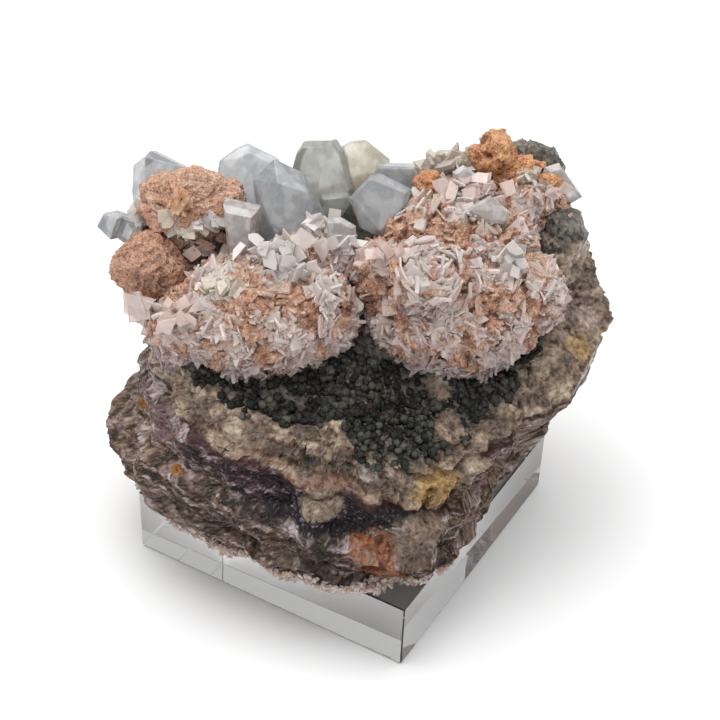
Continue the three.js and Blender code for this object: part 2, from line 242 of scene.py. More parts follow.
def chipped(points: Array, size: float, seed: int) -> Array:
    """Broken facets from -0.5 to 0.5 or so: in each cell a plane of its own random slope."""
    offset, _, chance = nearest_cell(points, size, seed)
    slope = 2 * chance - 1
    return np.einsum("ij,ij->i", offset, slope)


def unit(vectors: Array) -> Array:
    """Each row brought to length one."""
    return vectors / np.maximum(np.linalg.norm(vectors, axis=-1, keepdims=True), 1e-9)


def to_row_frame(points: Array) -> Array:
    """Turns specimen millimetres about the upright, lifts them onto the block, gives metres.

    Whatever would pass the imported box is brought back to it.
    """
    c, s = math.cos(SPECIMEN_TURN), math.sin(SPECIMEN_TURN)
    u, v, w = points.T
    turned = np.stack([u * c - v * s, u * s + v * c, w + ROCK_FOOT], axis=1) * MM
    return np.clip(turned, CAD_LOW + BOX_MARGIN * MM, CAD_HIGH - BOX_MARGIN * MM)


@dataclass
class Shell:
    """Points, triangles and paint of a mesh in the making; flow is a pattern's two coordinates."""

    points: Array
    faces: Array
    paint: Array
    flow: Array | None = None


def joined(shells: Sequence[Shell]) -> Shell:
    """One shell of several, their faces renumbered."""
    starts = np.cumsum([0] + [len(shell.points) for shell in shells[:-1]])
    return Shell(
        np.concatenate([shell.points for shell in shells]),
        np.concatenate([shell.faces + start for shell, start in zip(shells, starts)]),
        np.concatenate([shell.paint for shell in shells]),
    )


def rgba(colour: Array, alpha: Array) -> Array:
    """Colours with a fourth column, which a finish reads as its own mask."""
    return np.concatenate([colour, np.clip(alpha, 0, 1)[:, None]], axis=1)


class Piece:
    """Turns a shell into a finished Blender object that rides on the root body."""

    @staticmethod
    def make(
        name: str,
        shell: Shell,
        material: bpy.types.Material,
        slot: str,
        nodes: Sequence[str],
        smooth: bool,
    ) -> bpy.types.Object:
        """Builds the mesh and hides the imported nodes that it replaces.

        Args:
            name: the piece's name.
            shell: its points in specimen millimetres, its triangles and its paint.
            material: its finish.
            slot: not used.
            nodes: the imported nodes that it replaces.
            smooth: whether its faces are shaded as one curved surface.

        Returns:
            The new object.
        """
        mesh = bpy.data.meshes.new(name)
        count = len(shell.faces)
        mesh.vertices.add(len(shell.points))
        mesh.vertices.foreach_set("co", to_row_frame(shell.points).astype(np.float32).ravel())
        mesh.loops.add(3 * count)
        mesh.loops.foreach_set("vertex_index", shell.faces.astype(np.int32).ravel())
        mesh.polygons.add(count)
        mesh.polygons.foreach_set("loop_start", np.arange(0, 3 * count, 3, dtype=np.int32))
        mesh.polygons.foreach_set("loop_total", np.full(count, 3, dtype=np.int32))
        mesh.polygons.foreach_set("use_smooth", np.full(count, smooth))
        paint = mesh.color_attributes.new("paint", "FLOAT_COLOR", "POINT")
        paint.data.foreach_set("color", shell.paint.astype(np.float32).ravel())
        if shell.flow is not None:
            layer = mesh.uv_layers.new(name="flow")
            corners = shell.flow[shell.faces.ravel()]
            layer.data.foreach_set("uv", corners.astype(np.float32).ravel())
        mesh.update()
        mesh.validate()
        piece = bpy.data.objects.new(name, mesh)
        bpy.context.scene.collection.objects.link(piece)
        mesh.materials.append(material)
        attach(piece, "root")
        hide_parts(*nodes)
        log.info("%s: %d points, %d triangles", name, len(shell.points), count)
        return piece


def grid_faces(rows: int, columns: int) -> Array:
    """Triangles of a closed skin of rings, with its two poles after the last ring's points.

    Args:
        rows: rings from the first pole to the last.
        columns: points in a ring.

    Returns:
        Two triangles for each cell, then a fan round each pole.
    """
    r, c = np.meshgrid(np.arange(rows - 1), np.arange(columns), indexing="ij")
    a = (r * columns + c).ravel()
    b = (r * columns + (c + 1) % columns).ravel()
    loop = np.arange(columns)
    after = (loop + 1) % columns
    first, last = rows * columns, rows * columns + 1
    tail = (rows - 1) * columns
    return np.concatenate([
        np.stack([a, a + columns, b + columns], axis=1),
        np.stack([a, b + columns, b], axis=1),
        np.stack([np.full(columns, first), loop, after], axis=1),
        np.stack([tail + after, tail + loop, np.full(columns, last)], axis=1),
    ])


def ball_grid(rows: int, columns: int) -> tuple[Array, Array]:
    """A unit ball on a grid of polar angle by turn, with one point at each pole.

    Args:
        rows: rings between the poles.
        columns: points in a ring.

    Returns:
        The points and the triangles. The poles lie on the first axis, left and right.
    """
    polar = np.linspace(0, math.pi, rows + 2)[1:-1]
    turn = np.linspace(0, 2 * math.pi, columns, endpoint=False)
    p, t = np.meshgrid(polar, turn, indexing="ij")
    ring = np.stack([np.cos(p), np.sin(p) * np.cos(t), np.sin(p) * np.sin(t)], axis=-1)
    points = np.concatenate([ring.reshape(-1, 3), [[1, 0, 0], [-1, 0, 0]]])
    return points, grid_faces(rows, columns)


@dataclass(frozen=True)
class Lump:
    """A rounded body: its middle and its three half sizes, in specimen millimetres."""

    at: tuple[float, float, float]
    radii: tuple[float, float, float]

    def depth(self, points: Array) -> Array:
        """How deep points lie inside: 1 at the middle, 0 on the surface, below 0 outside."""
        return 1 - np.linalg.norm((points - np.array(self.at)) / np.array(self.radii), axis=1)

    def outward(self, points: Array) -> Array:
        """The direction straight out of the ellipsoid at each point."""
        return unit((points - np.array(self.at)) / np.array(self.radii) ** 2)


class Wire:
    """A shader socket that takes part in Python sums; each operator adds its Math node."""

    def __init__(self, bench: "Bench", socket: bpy.types.NodeSocket) -> None:
        """Keeps the bench that adds nodes, and the socket."""
        self.bench = bench
        self.socket = socket

    def math(self, operation: str, *values: object) -> "Wire":
        """A Math node of this operation on the wire and the values."""
        sockets = dict(enumerate((self, *values)))
        return self.bench.node("ShaderNodeMath", {"operation": operation}, sockets)

    def __add__(self, other: object) -> "Wire":
        """The sum."""
        return self.math("ADD", other)

    def __sub__(self, other: object) -> "Wire":
        """The difference."""
        return self.math("SUBTRACT", other)

    def __mul__(self, other: object) -> "Wire":
        """The product."""
        return self.math("MULTIPLY", other)

    def __rsub__(self, other: float) -> "Wire":
        """A number less the wire."""
        sockets = {0: other, 1: self}
        return self.bench.node("ShaderNodeMath", {"operation": "SUBTRACT"}, sockets)

    __radd__ = __add__

    def between(self, low: float, high: float) -> "Wire":
        """Rises smoothly from 0 at low to 1 at high."""
        settings = {"interpolation_type": "SMOOTHSTEP"}
        return self.bench.node("ShaderNodeMapRange", settings, {0: self, 1: low, 2: high})


class Bench:
    """A material's node tree and the one method that adds to it."""

    def __init__(self, name: str) -> None:
        """Starts an empty material of this name."""
        self.material = bpy.data.materials.new(name)
        self.material.use_nodes = True
        self.tree = self.material.node_tree
        self.tree.nodes.clear()

    def node(
        self,
        kind: str,
        settings: dict[str, object] | None = None,
        values: dict[str | int, object] | None = None,
        out: str | int = 0,
    ) -> Wire:
        """Adds a node.

        Args:
            kind: Blender's name of the node's type.
            settings: its own settings, set first.
            values: what goes into its sockets, a number, a tuple or a wire, by name or place.
            out: the output that is wanted.

        Returns:
            The wire from that output.
        """
        node = self.tree.nodes.new(kind)
        for key, value in (settings or {}).items():
            setattr(node, key, value)
        for key, value in (values or {}).items():
            socket = node.inputs[key]
            if isinstance(value, Wire):
                self.tree.links.new(value.socket, socket)
            elif isinstance(value, tuple) and len(value) == 3 and socket.type == "RGBA":
                socket.default_value = (*value, 1)
            else:
                socket.default_value = value
        return Wire(self, node.outputs[out])

    def place(self) -> Wire:
        """The object's own coordinates."""
        return self.node("ShaderNodeTexCoord", out="Object")

    def noise(self, size: float, detail: float = 3) -> Wire:
        """Noise whose features are about this many millimetres across, from 0 to 1."""
        values = {"Vector": self.place(), "Scale": 1 / (size * MM), "Detail": detail}
        return self.node("ShaderNodeTexNoise", {}, values)

    def cells(self, size: float, out: str = "Distance") -> Wire:
        """Random cells of this size: distance to the middle in cells, or a random colour of each."""
        values = {"Vector": self.place(), "Scale": 1 / (size * MM)}
        return self.node("ShaderNodeTexVoronoi", {}, values, out)

    def blend(self, share: object, first: object, second: object, how: str = "MIX") -> Wire:
        """Two colours mixed by the share, or joined the way that how names."""
        settings = {"data_type": "RGBA", "blend_type": how}
        return self.node("ShaderNodeMix", settings, {0: share, 6: first, 7: second}, out=2)

    def paint(self, out: str = "Color") -> Wire:
        """The colour painted on the mesh, or its fourth channel."""
        return self.node("ShaderNodeAttribute", {"attribute_name": "paint"}, out=out)

    def bump(self, height: Wire, depth: float) -> Wire:
        """A bump of this many millimetres."""
        return self.node("ShaderNodeBump", {}, {"Height": height, "Distance": depth * MM, "Strength": 1.0})

    def vector(self, operation: str, values: dict[str | int, object]) -> Wire:
        """A node of vector arithmetic, with this operation."""
        return self.node("ShaderNodeVectorMath", {"operation": operation}, values)

    def facets(self, size: float, tilt: object, normal: Wire) -> Wire:
        """The normal tipped a random way in each cell of this size, as on a mass of crystal faces."""
        tipped = self.vector("SUBTRACT", {0: self.cells(size, "Color"), 1: (0.5, 0.5, 0.5)})
        scaled = self.vector("SCALE", {0: tipped, "Scale": tilt})
        return self.vector("NORMALIZE", {0: self.vector("ADD", {0: normal, 1: scaled})})

    def principled(self, values: dict[str, object]) -> Wire:
        """A Principled shader with these sockets."""
        return self.node("ShaderNodeBsdfPrincipled", {}, values)

    def finish(self, shader: Wire) -> bpy.types.Material:
        """Sends the shader to the output and gives the material."""
        output = self.tree.nodes.new("ShaderNodeOutputMaterial")
        self.tree.links.new(shader.socket, output.inputs["Surface"])
        return self.material


@dataclass(frozen=True)
class RockFinish:
    """Banded fluorite: painted bands, short streaks along their flow, and on the rim faces of sugar-like
    grains with painted glints and shade.
    """

    name: str = "banded_fluorite"
    streak: tuple[float, float] = (1.7, 0.5)
    fleck: tuple[float, float] = (0.8, 0.32)
    sugar: float = 0.75

    def along(self, bench: Bench, flow: Wire, size: tuple[float, float], detail: float) -> Wire:
        """Noise stretched along the flow of the bands."""
        scale = (1 / size[0], 1 / size[1], 1.0)
        place = bench.node("ShaderNodeMapping", {}, {"Vector": flow, "Scale": scale})
        return bench.node("ShaderNodeTexNoise", {}, {"Vector": place, "Scale": 1.0, "Detail": detail})

    def build(self) -> bpy.types.Material:
        """The material."""
        bench = Bench(self.name)
        flow = bench.node("ShaderNodeUVMap", {"uv_map": "flow"})
        streak = self.along(bench, flow, self.streak, 5.0)
        fleck = self.along(bench, flow, self.fleck, 3.0)
        soft = bench.noise(1.3, 4)
        sugar = bench.cells(self.sugar, "Color") * 1.0
        fibrous = bench.paint("Alpha")
        dark = bench.blend(1.0, bench.paint(), (0.2, 0.17, 0.17), "MULTIPLY")
        pale = bench.blend(0.3, bench.paint(), (0.6, 0.54, 0.56))
        banded = bench.blend(streak.between(0.5, 0.36) * 0.85, bench.paint(), dark)
        banded = bench.blend(fleck.between(0.56, 0.74) * 0.8, banded, pale)
        # painted light and shade: random grain cells and soft patches take a lit or a dimmed copy of the
        # paint, as glints and shaded facets
        dim = bench.blend(1.0, bench.paint(), (0.32, 0.27, 0.23), "MULTIPLY")
        lit = bench.blend(0.2, bench.paint(), (0.8, 0.73, 0.66))
        sugary_painted_light = bench.blend(sugar * 0.45 + soft.between(0.35, 0.65) * 0.55, dim, lit)
        colour = bench.blend(fibrous, sugary_painted_light, banded)
        height = bench.node("ShaderNodeSeparateXYZ", {}, {0: flow}, out=1) + bench.noise(2.4, 3) * 1.8
        line = height.between(-0.6, -0.1) * height.between(1.0, 0.4)
        colour = bench.blend(line * (0.5 + soft.between(0.4, 0.6) * 0.45), colour, Tone.RED_LINE.value)
        bumped = bench.bump(streak * fibrous * 0.6 + soft * 0.6 + fleck * fibrous * 0.4, 0.45)
        shader = bench.principled({
            "Base Color": colour,
            "Roughness": 0.2 + fibrous * 0.36,
            "IOR": 1.43,
            "Specular IOR Level": 0.34,
            "Subsurface Weight": 0.1,
            "Subsurface Radius": (1.0, 0.7, 0.5),
            "Subsurface Scale": 0.001,
            "Normal": bench.facets(self.sugar, 0.7 - fibrous * 0.25, bumped),
        })
        return bench.finish(shader)


@dataclass(frozen=True)
class SpheruleFinish:
    """Dark grey-green crusts of minute crystals over little balls."""

    name: str = "dark_druse"
    crystal: float = 0.3

    def build(self) -> bpy.types.Material:
        """The material."""
        bench = Bench(self.name)
        grain = bench.noise(self.crystal, 3)
        # paler where the fine grain stands highest
        paler_on_grain_tops = bench.blend(grain.between(0.5, 0.75) * 0.3, bench.paint(), (0.17, 0.165, 0.145))
        bumped = bench.bump(grain, 0.2)
        shader = bench.principled({
            "Base Color": paler_on_grain_tops,
            "Roughness": 0.4 + grain * 0.3,
            "Specular IOR Level": 0.3,
            "Normal": bench.facets(self.crystal, 0.8, bumped),
        })
        return bench.finish(shader)


@dataclass(frozen=True)
class RustFinish:
    """Rust-tan baryte: a dense skin of grains, with painted shade in the hollows between them and painted
    highlights on their crests.
    """

    name: str = "rust_stained_baryte"
    cell: float = 0.5

    def shader(self, bench: Bench) -> Wire:
        """The rust skin as a shader, for its own pieces and for coats on other pieces."""
        warp = bench.noise(1.1, 4)
        cell = bench.cells(self.cell)
        # painted shade between the grains and a painted highlight on their crests, mixed with random patches
        crest = (1 - cell).between(0.25, 0.85)
        painted_pit_shade = bench.blend(1.0, bench.paint(), (0.5, 0.38, 0.31), "MULTIPLY")
        lit = bench.blend(0.3, bench.paint(), (0.88, 0.72, 0.6))
        colour = bench.blend(crest * 0.5 + warp.between(0.3, 0.7) * 0.5, painted_pit_shade, lit)
        bumped = bench.bump(cell * -0.8 + warp, 0.4)
        return bench.principled({
            "Base Color": colour,
            "Roughness": 0.5 + cell * 0.2,
            "Specular IOR Level": 0.5,
            "Normal": bench.facets(self.cell, 0.7, bumped),
        })

    def build(self) -> bpy.types.Material:
        """The material."""
        bench = Bench(self.name)
        return bench.finish(self.shader(bench))


@dataclass(frozen=True)
class BladeFinish:
    """Pinkish, half clear baryte blades that carry a rust coat where the paint's mask says."""

    name: str = "baryte_rosette"
    transmission: float = 0.5

    def build(self) -> bpy.types.Material:
        """The material."""
        bench = Bench(self.name)
        veil = bench.noise(1.2, 4)
        frost = bench.noise(0.5, 3)
        clear = bench.blend(veil.between(0.35, 0.7) * 0.7, bench.paint(), (0.97, 0.90, 0.87))
        glassy = bench.principled({
            "Base Color": clear,
            "Roughness": 0.07 + frost.between(0.4, 0.7) * 0.08,
            "IOR": 1.6,
            "Transmission Weight": self.transmission,
            "Normal": bench.bump(frost, 0.03),
        })
        rust = RustFinish().shader(bench)
        coat = bench.paint("Alpha") + bench.noise(0.7, 4) * 1.2 - 0.58
        both = bench.node("ShaderNodeMixShader", {}, {0: coat.between(0.4, 0.62), 1: glassy, 2: rust})
        return bench.finish(both)


@dataclass(frozen=True)
class CrystalFinish:
    """Glassy baryte with cloudy veils and faint growth streaks."""

    name: str
    clear: Colour
    cloudy: Colour
    transmission: float = 0.55
    roughness: float = 0.06
    veil: float = 4.0

    def build(self) -> bpy.types.Material:
        """The material."""
        bench = Bench(self.name)
        veil = bench.noise(self.veil, 5)
        tall = bench.node("ShaderNodeMapping", {}, {"Vector": bench.place(), "Scale": (900.0, 900.0, 160.0)})
        growth = bench.node("ShaderNodeTexNoise", {}, {"Vector": tall, "Scale": 1.0, "Detail": 3.0})
        share = veil.between(0.43, 0.6) * 0.8 + growth.between(0.5, 0.75) * 0.4
        colour = bench.blend(share, self.clear, self.cloudy)
        shader = bench.principled({
            "Base Color": colour,
            "Roughness": self.roughness + share * 0.1,
            "IOR": 1.64,
            "Transmission Weight": self.transmission,
            "Normal": bench.bump(growth, 0.05),
        })
        return bench.finish(shader)


@dataclass(frozen=True)
class AcrylicFinish:
    """Clear polished acrylic, tinted grey as painted shade."""

    name: str = "clear_acrylic"
    # painted shade: a grey tint that darkens the clear acrylic, for the dim surroundings seen through it
    tint: Colour = (0.718, 0.714, 0.708)

    def build(self) -> bpy.types.Material:
        """The material."""
        bench = Bench(self.name)
        shader = bench.principled({
            "Base Color": self.tint,
            "Roughness": 0.0,
            "IOR": 1.49,
            "Transmission Weight": 1.0,
        })
        return bench.finish(shader)


def around(knots: Sequence[tuple[float, float]], bearing: Array) -> Array:
    """A line drawn round the rock: knots of bearing in degrees and level, joined by straights."""
    degrees = np.array([knot[0] for knot in knots], dtype=float)
    levels = np.array([knot[1] for knot in knots], dtype=float)
    return np.interp(bearing % 360, degrees, levels, period=360)


@dataclass(frozen=True)
class Stain:
    """A soft patch of colour on the rock.

    Attributes:
        at: its middle, in specimen millimetres.
        reach: how far it reaches across.
        colour: its tone.
        strength: how much it covers.
        tall: its height as a share of its width.
    """

    at: tuple[float, float, float]
    reach: float
    colour: Tone
    strength: float = 1.0
    tall: float = 1.0

    def share(self, points: Array, ragged: Array) -> Array:
        """How much of the stain each point takes, with a ragged rim."""
        away = (points - np.array(self.at)) / np.array([self.reach, self.reach, self.reach * self.tall])
        return self.strength * (1 - smooth_step(np.linalg.norm(away, axis=1) + ragged, 0.72, 1.0))


@dataclass
class FluoriteRock:
    """The banded rock: five rings of radius and height, every thirty degrees, joined in between.

    Ring 0 is the foot, 1 the belly, 2 the rim, 3 the shelf behind the rim and 4 the crown. The
    druse's edge, the red line and the foot of the dark band are levels by the bearing in degrees.
    The stains from first_clear_stain on also take the splinters of the bands away.
    """

    foot_radius: tuple[float, ...] = (38, 47, 46, 40, 42, 46, 50, 49, 43, 46, 44, 36)
    belly_radius: tuple[float, ...] = (50, 60, 56, 47, 48, 52, 61, 56, 46, 47, 46, 41)
    belly_height: tuple[float, ...] = (20, 26, 28, 28, 26, 20, 14, 14, 13, 12, 12, 14)
    rim_radius: tuple[float, ...] = (60, 62, 54, 46, 44, 43, 46, 43, 36, 32, 40, 43)
    rim_height: tuple[float, ...] = (40, 56, 61, 57, 54, 48, 39, 36, 34, 33, 28, 30)
    shelf_radius: tuple[float, ...] = (40, 44, 44, 36, 32, 32, 32, 26, 20, 17, 22, 30)
    shelf_height: tuple[float, ...] = (46, 56, 61, 58, 57, 56, 50, 43, 39, 37, 34, 36)
    crown_height: float = 54
    strata_pitch: float = 10
    strata_depth: float = 3
    strata_wear: float = 0.8
    lump_depth: float = 1.3
    top_slope: float = 60
    front: tuple[float, float] = (172.0, 378.0)
    front_columns: int = 610
    back_columns: int = 170
    flow_radius: float = 45
    first_clear_stain: int = 5
    rows: tuple[tuple[float, float, int], ...] = (
        (0.0, 1.0, 30), (1.0, 2.0, 58), (2.0, 2.5, 26), (2.5, 4.0, 12),
    )
    druse_edge: tuple[tuple[float, float], ...] = (
        (0, 2.75), (20, 2.8), (150, 2.6), (180, 2.5), (190, 2.4), (203, 2.2), (215, 2.23),
        (229, 2.2), (238, 2.1), (252, 2.04), (258, 2.16), (264, 2.4), (268, 2.25), (272, 1.97),
        (275, 1.87), (282, 1.9), (292, 2.0), (298, 2.1), (311, 2.23), (329, 2.29), (342, 2.5), (354, 2.66),
    )
    band_height: float = 24
    red_line: tuple[tuple[float, float], ...] = (
        (0, 1.84), (20, 1.7), (90, 1.45), (150, 1.7), (180, 1.95), (202, 1.84), (214, 1.84),
        (224, 1.72), (237, 1.74), (248, 1.62), (259, 1.60), (268, 1.55), (283, 1.51),
        (292, 1.50), (299, 1.32), (309, 1.19), (313, 1.5), (318, 1.72), (326, 1.88),
        (338, 1.96), (346, 1.9),
    )
    dark_base: tuple[tuple[float, float], ...] = (
        (0, 1.78), (20, 1.6), (90, 1.3), (150, 1.5), (180, 1.6), (200, 1.45), (212, 1.40),
        (223, 1.46), (233, 1.38), (241, 1.27), (250, 1.18), (259, 1.15), (269, 1.13),
        (277, 1.24), (283, 1.30), (292, 1.40), (299, 1.33), (309, 1.19), (318, 1.66),
        (338, 1.86), (346, 1.84),
    )
    stains: tuple[Stain, ...] = (
        Stain((-52.4, -10.2, 24), 2.0, Tone.HONEY),
        Stain((-48, -19, 17), 1.6, Tone.HONEY),
        Stain((-38.5, -28, 19.5), 2.4, Tone.HONEY),
        Stain((-44.4, -20.7, 27), 5.5, Tone.MAUVE, 0.5),
        Stain((-47, -13, 33), 3.5, Tone.FOLD_PALE, 0.6),
        Stain((-5.7, -41.5, 21.4), 6.0, Tone.FOLD_TAN, 1.0, 0.62),
        Stain((-7, -45, 4.6), 6.5, Tone.RED_LINE, 0.8, 0.6),
        Stain((-13, -44.5, 6), 3.4, Tone.OLIVE),
        Stain((7.5, -45, 12), 6.4, Tone.ORANGE, 1.0, 0.8),
        Stain((9.0, -44.5, 7.0), 5.6, Tone.ORANGE, 1.0, 0.8),
        Stain((5.2, -45, 9.5), 3.4, Tone.RIM_TAN, 0.8),
        Stain((12.5, -43, 2.5), 4.0, Tone.ORANGE, 0.8),
        Stain((18, -43, 13.5), 8.0, Tone.GREY_CLEAR, 1.0, 0.9),
        Stain((20.5, -36, 23.5), 7.0, Tone.YELLOW, 1.0, 0.75),
        Stain((8.3, -37.2, 26.2), 5.0, Tone.RIM_BROWN, 0.9),
        Stain((4.4, -35.8, 28.2), 3.2, Tone.FOLD_PALE),
        Stain((53.5, -1.9, 40), 4.0, Tone.YELLOW, 0.9),
        Stain((56, 6, 43), 3.5, Tone.PINK_WHITE, 0.8),
    )
    outcrops: tuple[Lump, ...] = (
        Lump((22.5, -23.3, 30.8), (4.6, 4.6, 5.0)),
        Lump((20.2, -15.7, 36.2), (3.4, 3.4, 3.4)),
        Lump((36.0, -24.0, 29.0), (5.0, 4.0, 5.0)),
        Lump((-11.5, -31.5, 34.0), (6.0, 3.0, 2.6)),
    )

    def ring(self, values: tuple[float, ...], turn: Array) -> Array:
        """The ring's value at each turn, by a Catmull-Rom curve through its twelve values."""
        ring = np.array(values, dtype=float)
        place = (turn % 1) * len(ring)
        start = np.floor(place).astype(int)
        f = place - start
        a, b, c, d = (ring[(start + step) % len(ring)] for step in (-1, 0, 1, 2))
        return b + 0.5 * f * (c - a + f * (2 * a - 5 * b + 4 * c - d + f * (3 * (b - c) + d - a)))

    def lumps(self, points: Array) -> Array:
        """Low swells of the rock: three products of sines of the place."""
        x, y, z = points.T
        broad = np.sin(0.19 * x + 0.11 * z + 1.3) * np.sin(0.17 * y - 0.13 * z)
        middle = np.sin(0.33 * x - 0.29 * y + 0.21 * z + 0.4)
        small = np.sin(0.52 * x + 0.61 * y - 0.37 * z)
        return self.lump_depth * (broad + 0.7 * middle + 0.5 * small)

    def ledge(self, below_rim: Array, turn: Array) -> Array:
        """A worn saw-tooth down the flank: each bed slopes back, then steps out over a short rise."""
        phase = below_rim / self.strata_pitch + 0.35 * np.sin(4 * math.pi * turn)
        part = phase - np.floor(phase)
        slope = np.minimum(part / self.strata_wear, (1 - part) / (1 - self.strata_wear))
        return self.strata_depth * (0.5 - slope)

    def outcrop(self, points: Array) -> Array:
        """Share of bare rock that stands out of the druse, from 0 to 1."""
        ragged = 0.16 * layered(points, 2.5, 3, 95)
        depth = np.max([lump.depth(points) for lump in self.outcrops], axis=0)
        return smooth_step(depth + ragged, 0.0, 0.2)

    def surface(self, turn: Array, level: Array) -> tuple[Array, Array]:
        """Points of the rock.

        Each point lies on the straight from one ring to the next, and the swells and ledges push
        it straight out.

        Args:
            turn: bearing in turns from the right, towards the back.
            level: ring number, 0 at the foot and 4 at the crown.

        Returns:
            The points, and the directions out of the rock there.
        """
        zero = np.zeros_like(turn)
        radii = np.stack([
            self.ring(self.foot_radius, turn), self.ring(self.belly_radius, turn),
            self.ring(self.rim_radius, turn), self.ring(self.shelf_radius, turn), zero,
        ])
        rim_height = self.ring(self.rim_height, turn)
        heights = np.stack([
            zero, self.ring(self.belly_height, turn), rim_height,
            self.ring(self.shelf_height, turn), zero + self.crown_height,
        ])
        lower = np.clip(np.floor(level).astype(int), 0, 3)
        f = level - lower
        index = np.arange(len(turn))
        radius = (1 - f) * radii[lower, index] + f * radii[lower + 1, index]
        height = (1 - f) * heights[lower, index] + f * heights[lower + 1, index]
        angle = 2 * math.pi * turn
        points = np.stack([radius * np.cos(angle), radius * np.sin(angle), height], axis=1)
        climb = np.where(level > 2, self.top_slope * (level - 2), 0)
        outward = unit(np.stack([points[:, 0], points[:, 1], climb], axis=1))
        swell = np.where(level > 0, self.lumps(points), 0)
        flank = (level > 0) & (level < 2)
        swell += np.where(flank, self.ledge(rim_height - height, turn), 0)
        return points + outward * swell[:, None], outward

    def rise(self, turn: Array, level: Array, points: Array) -> Array:
        """Level above the red line, shifted a little by noise so that the line wanders."""
        wander = 0.035 * layered(points, 6.0, 4, 71)
        return level - around(self.red_line, turn * 360) + wander

    def relief(self, points: Array, flow: Array, fibrous: Array) -> Array:
        """Millimetres that the broken surface stands proud of the plain rock.

        Chips of three sizes and layered noise everywhere; on the banded part the chips are
        splinters, drawn out along the flow of the bands.
        """
        chips = 1.9 * chipped(points, 5.6, 3) + 0.8 * chipped(points, 2.6, 9)
        chips += 0.25 * chipped(points, 1.2, 15)
        rough = 0.5 * layered(points, 5.0, 3, 21)
        long = np.stack([flow[:, 0] / 7.0, flow[:, 1] / 2.6, 0.12 * points[:, 2]], axis=1)
        short = np.stack([flow[:, 0] / 2.4, flow[:, 1] / 0.9, 0.3 * points[:, 2]], axis=1)
        splinters = 0.55 * chipped(long, 1.0, 33) + 0.3 * chipped(short, 1.0, 37)
        return chips * (1 - 0.6 * fibrous) + rough + splinters * fibrous

    def drawn_in(self, side: Array, level: Array) -> Array:
        """Millimetres that the left end is drawn in: all its flank, and more on the belly behind."""
        flank = window(side, 0.42, 0.47, 0.54, 0.59) * window(level, 1.02, 1.14, 1.5, 1.9)
        belly = window(side, 0.4, 0.45, 0.498, 0.513) * window(level, 0.75, 0.95, 1.25, 1.45)
        return 3.0 * flank + 3.4 * belly

    def colours(self, turn: Array, level: Array, points: Array, flow: Array, relief: Array) -> Array:
        """Paint of the rock: bands set out from the red line, then the stains, then painted shade in its
        hollows and on the ground between the druse's balls.
        """
        bearing = turn * 360 % 360
        rise = self.rise(turn, level, points)
        fall = level - around(self.dark_base, turn * 360) + 0.03 * layered(points, 4.0, 3, 81)
        lines = np.stack([flow[:, 0] / 3.8, flow[:, 1] / 1.3, 0.2 * points[:, 2]], axis=1)
        stripe = 0.47 + 0.46 * layered(lines, 1.0, 4, 51, 0.8)
        patchy = 0.51 + 0.5 * layered(points, 5.0, 5, 61, 0.66)
        patchy -= 0.1 * smooth_step(bearing, 240, 270) + 0.1 * (bearing < 90)
        in_front = window(bearing, 208, 230, 303, 311)
        folded = ramp(stripe, [0.1, 0.35, 0.5, 0.7, 0.95], [
            Tone.FOLD_DARK, Tone.FOLD_BROWN, Tone.FOLD_TAN, Tone.MAUVE, Tone.FOLD_PALE])
        under = ramp(stripe, [0.1, 0.4, 0.58, 0.76, 0.95], [
            Tone.FOLD_DARK, Tone.FOLD_DARK, Tone.FOLD_BROWN, Tone.MAUVE, Tone.FOLD_PALE])
        plum = ramp(stripe, [0.0, 0.66, 0.86, 1.1], [
            Tone.PLUM_BLACK, Tone.PLUM_BLACK, Tone.PLUM, Tone.LILAC_FLECK])
        flecked = ramp(stripe, [0.2, 0.5, 0.72, 0.95], [
            Tone.PLUM_BLACK, Tone.PLUM, Tone.MAUVE, Tone.LILAC_FLECK])
        plum = mixed(plum, flecked, 1 - smooth_step(bearing, 236, 256))
        rim = ramp(patchy, [0.05, 0.3, 0.52, 0.85], [
            Tone.OLIVE, Tone.RIM_BROWN, Tone.RIM_TAN, Tone.RIM_CLEAR])
        below = 1 - smooth_step(rise, -0.02, 0.01)
        band = below * smooth_step(fall, -0.015, 0.015)
        colour = mixed(rim, mixed(folded, under, 0.75 * in_front), below)
        colour = mixed(colour, plum, band * (0.3 + 0.7 * in_front))
        pale = 0.7 * below * in_front * window(fall, -0.1, -0.06, -0.02, 0.0)
        pale *= smooth_step(stripe, 0.3, 0.8)
        colour = mixed(colour, tone(Tone.LILAC_FLECK)[None], pale)
        warm = np.exp(-((rise - 0.04) / 0.05) ** 2)
        colour = mixed(colour, tone(Tone.ORANGE)[None], 0.35 * warm * in_front)
        ragged = 0.3 * (patchy - 0.5) + 0.25 * (stripe - 0.47)
        grained = (0.72 + 0.56 * patchy)[:, None]
        for stain in self.stains:
            colour = mixed(colour, tone(stain.colour) * grained, stain.share(points, ragged))
        fringe = 1 - smooth_step(level + 0.1 * layered(points, 3.0, 2, 91), 0.02, 0.16)
        colour = mixed(colour, tone(Tone.PINK_WHITE)[None], 0.7 * fringe)
        # painted shade: darker where the broken surface sinks in
        colour = mixed(colour, 0.25 * colour, smooth_step(-relief, 0.5, 1.9))
        edge = around(self.druse_edge, bearing)
        # painted shade: where the druse lines the rock, the rock between its balls is painted near-black
        painted_druse_gap_shade = smooth_step(level - edge, 0.02, 0.16) * (1 - self.outcrop(points))
        return mixed(colour, tone(Tone.DRUSE_GAP_SHADE)[None], 0.92 * painted_druse_gap_shade)

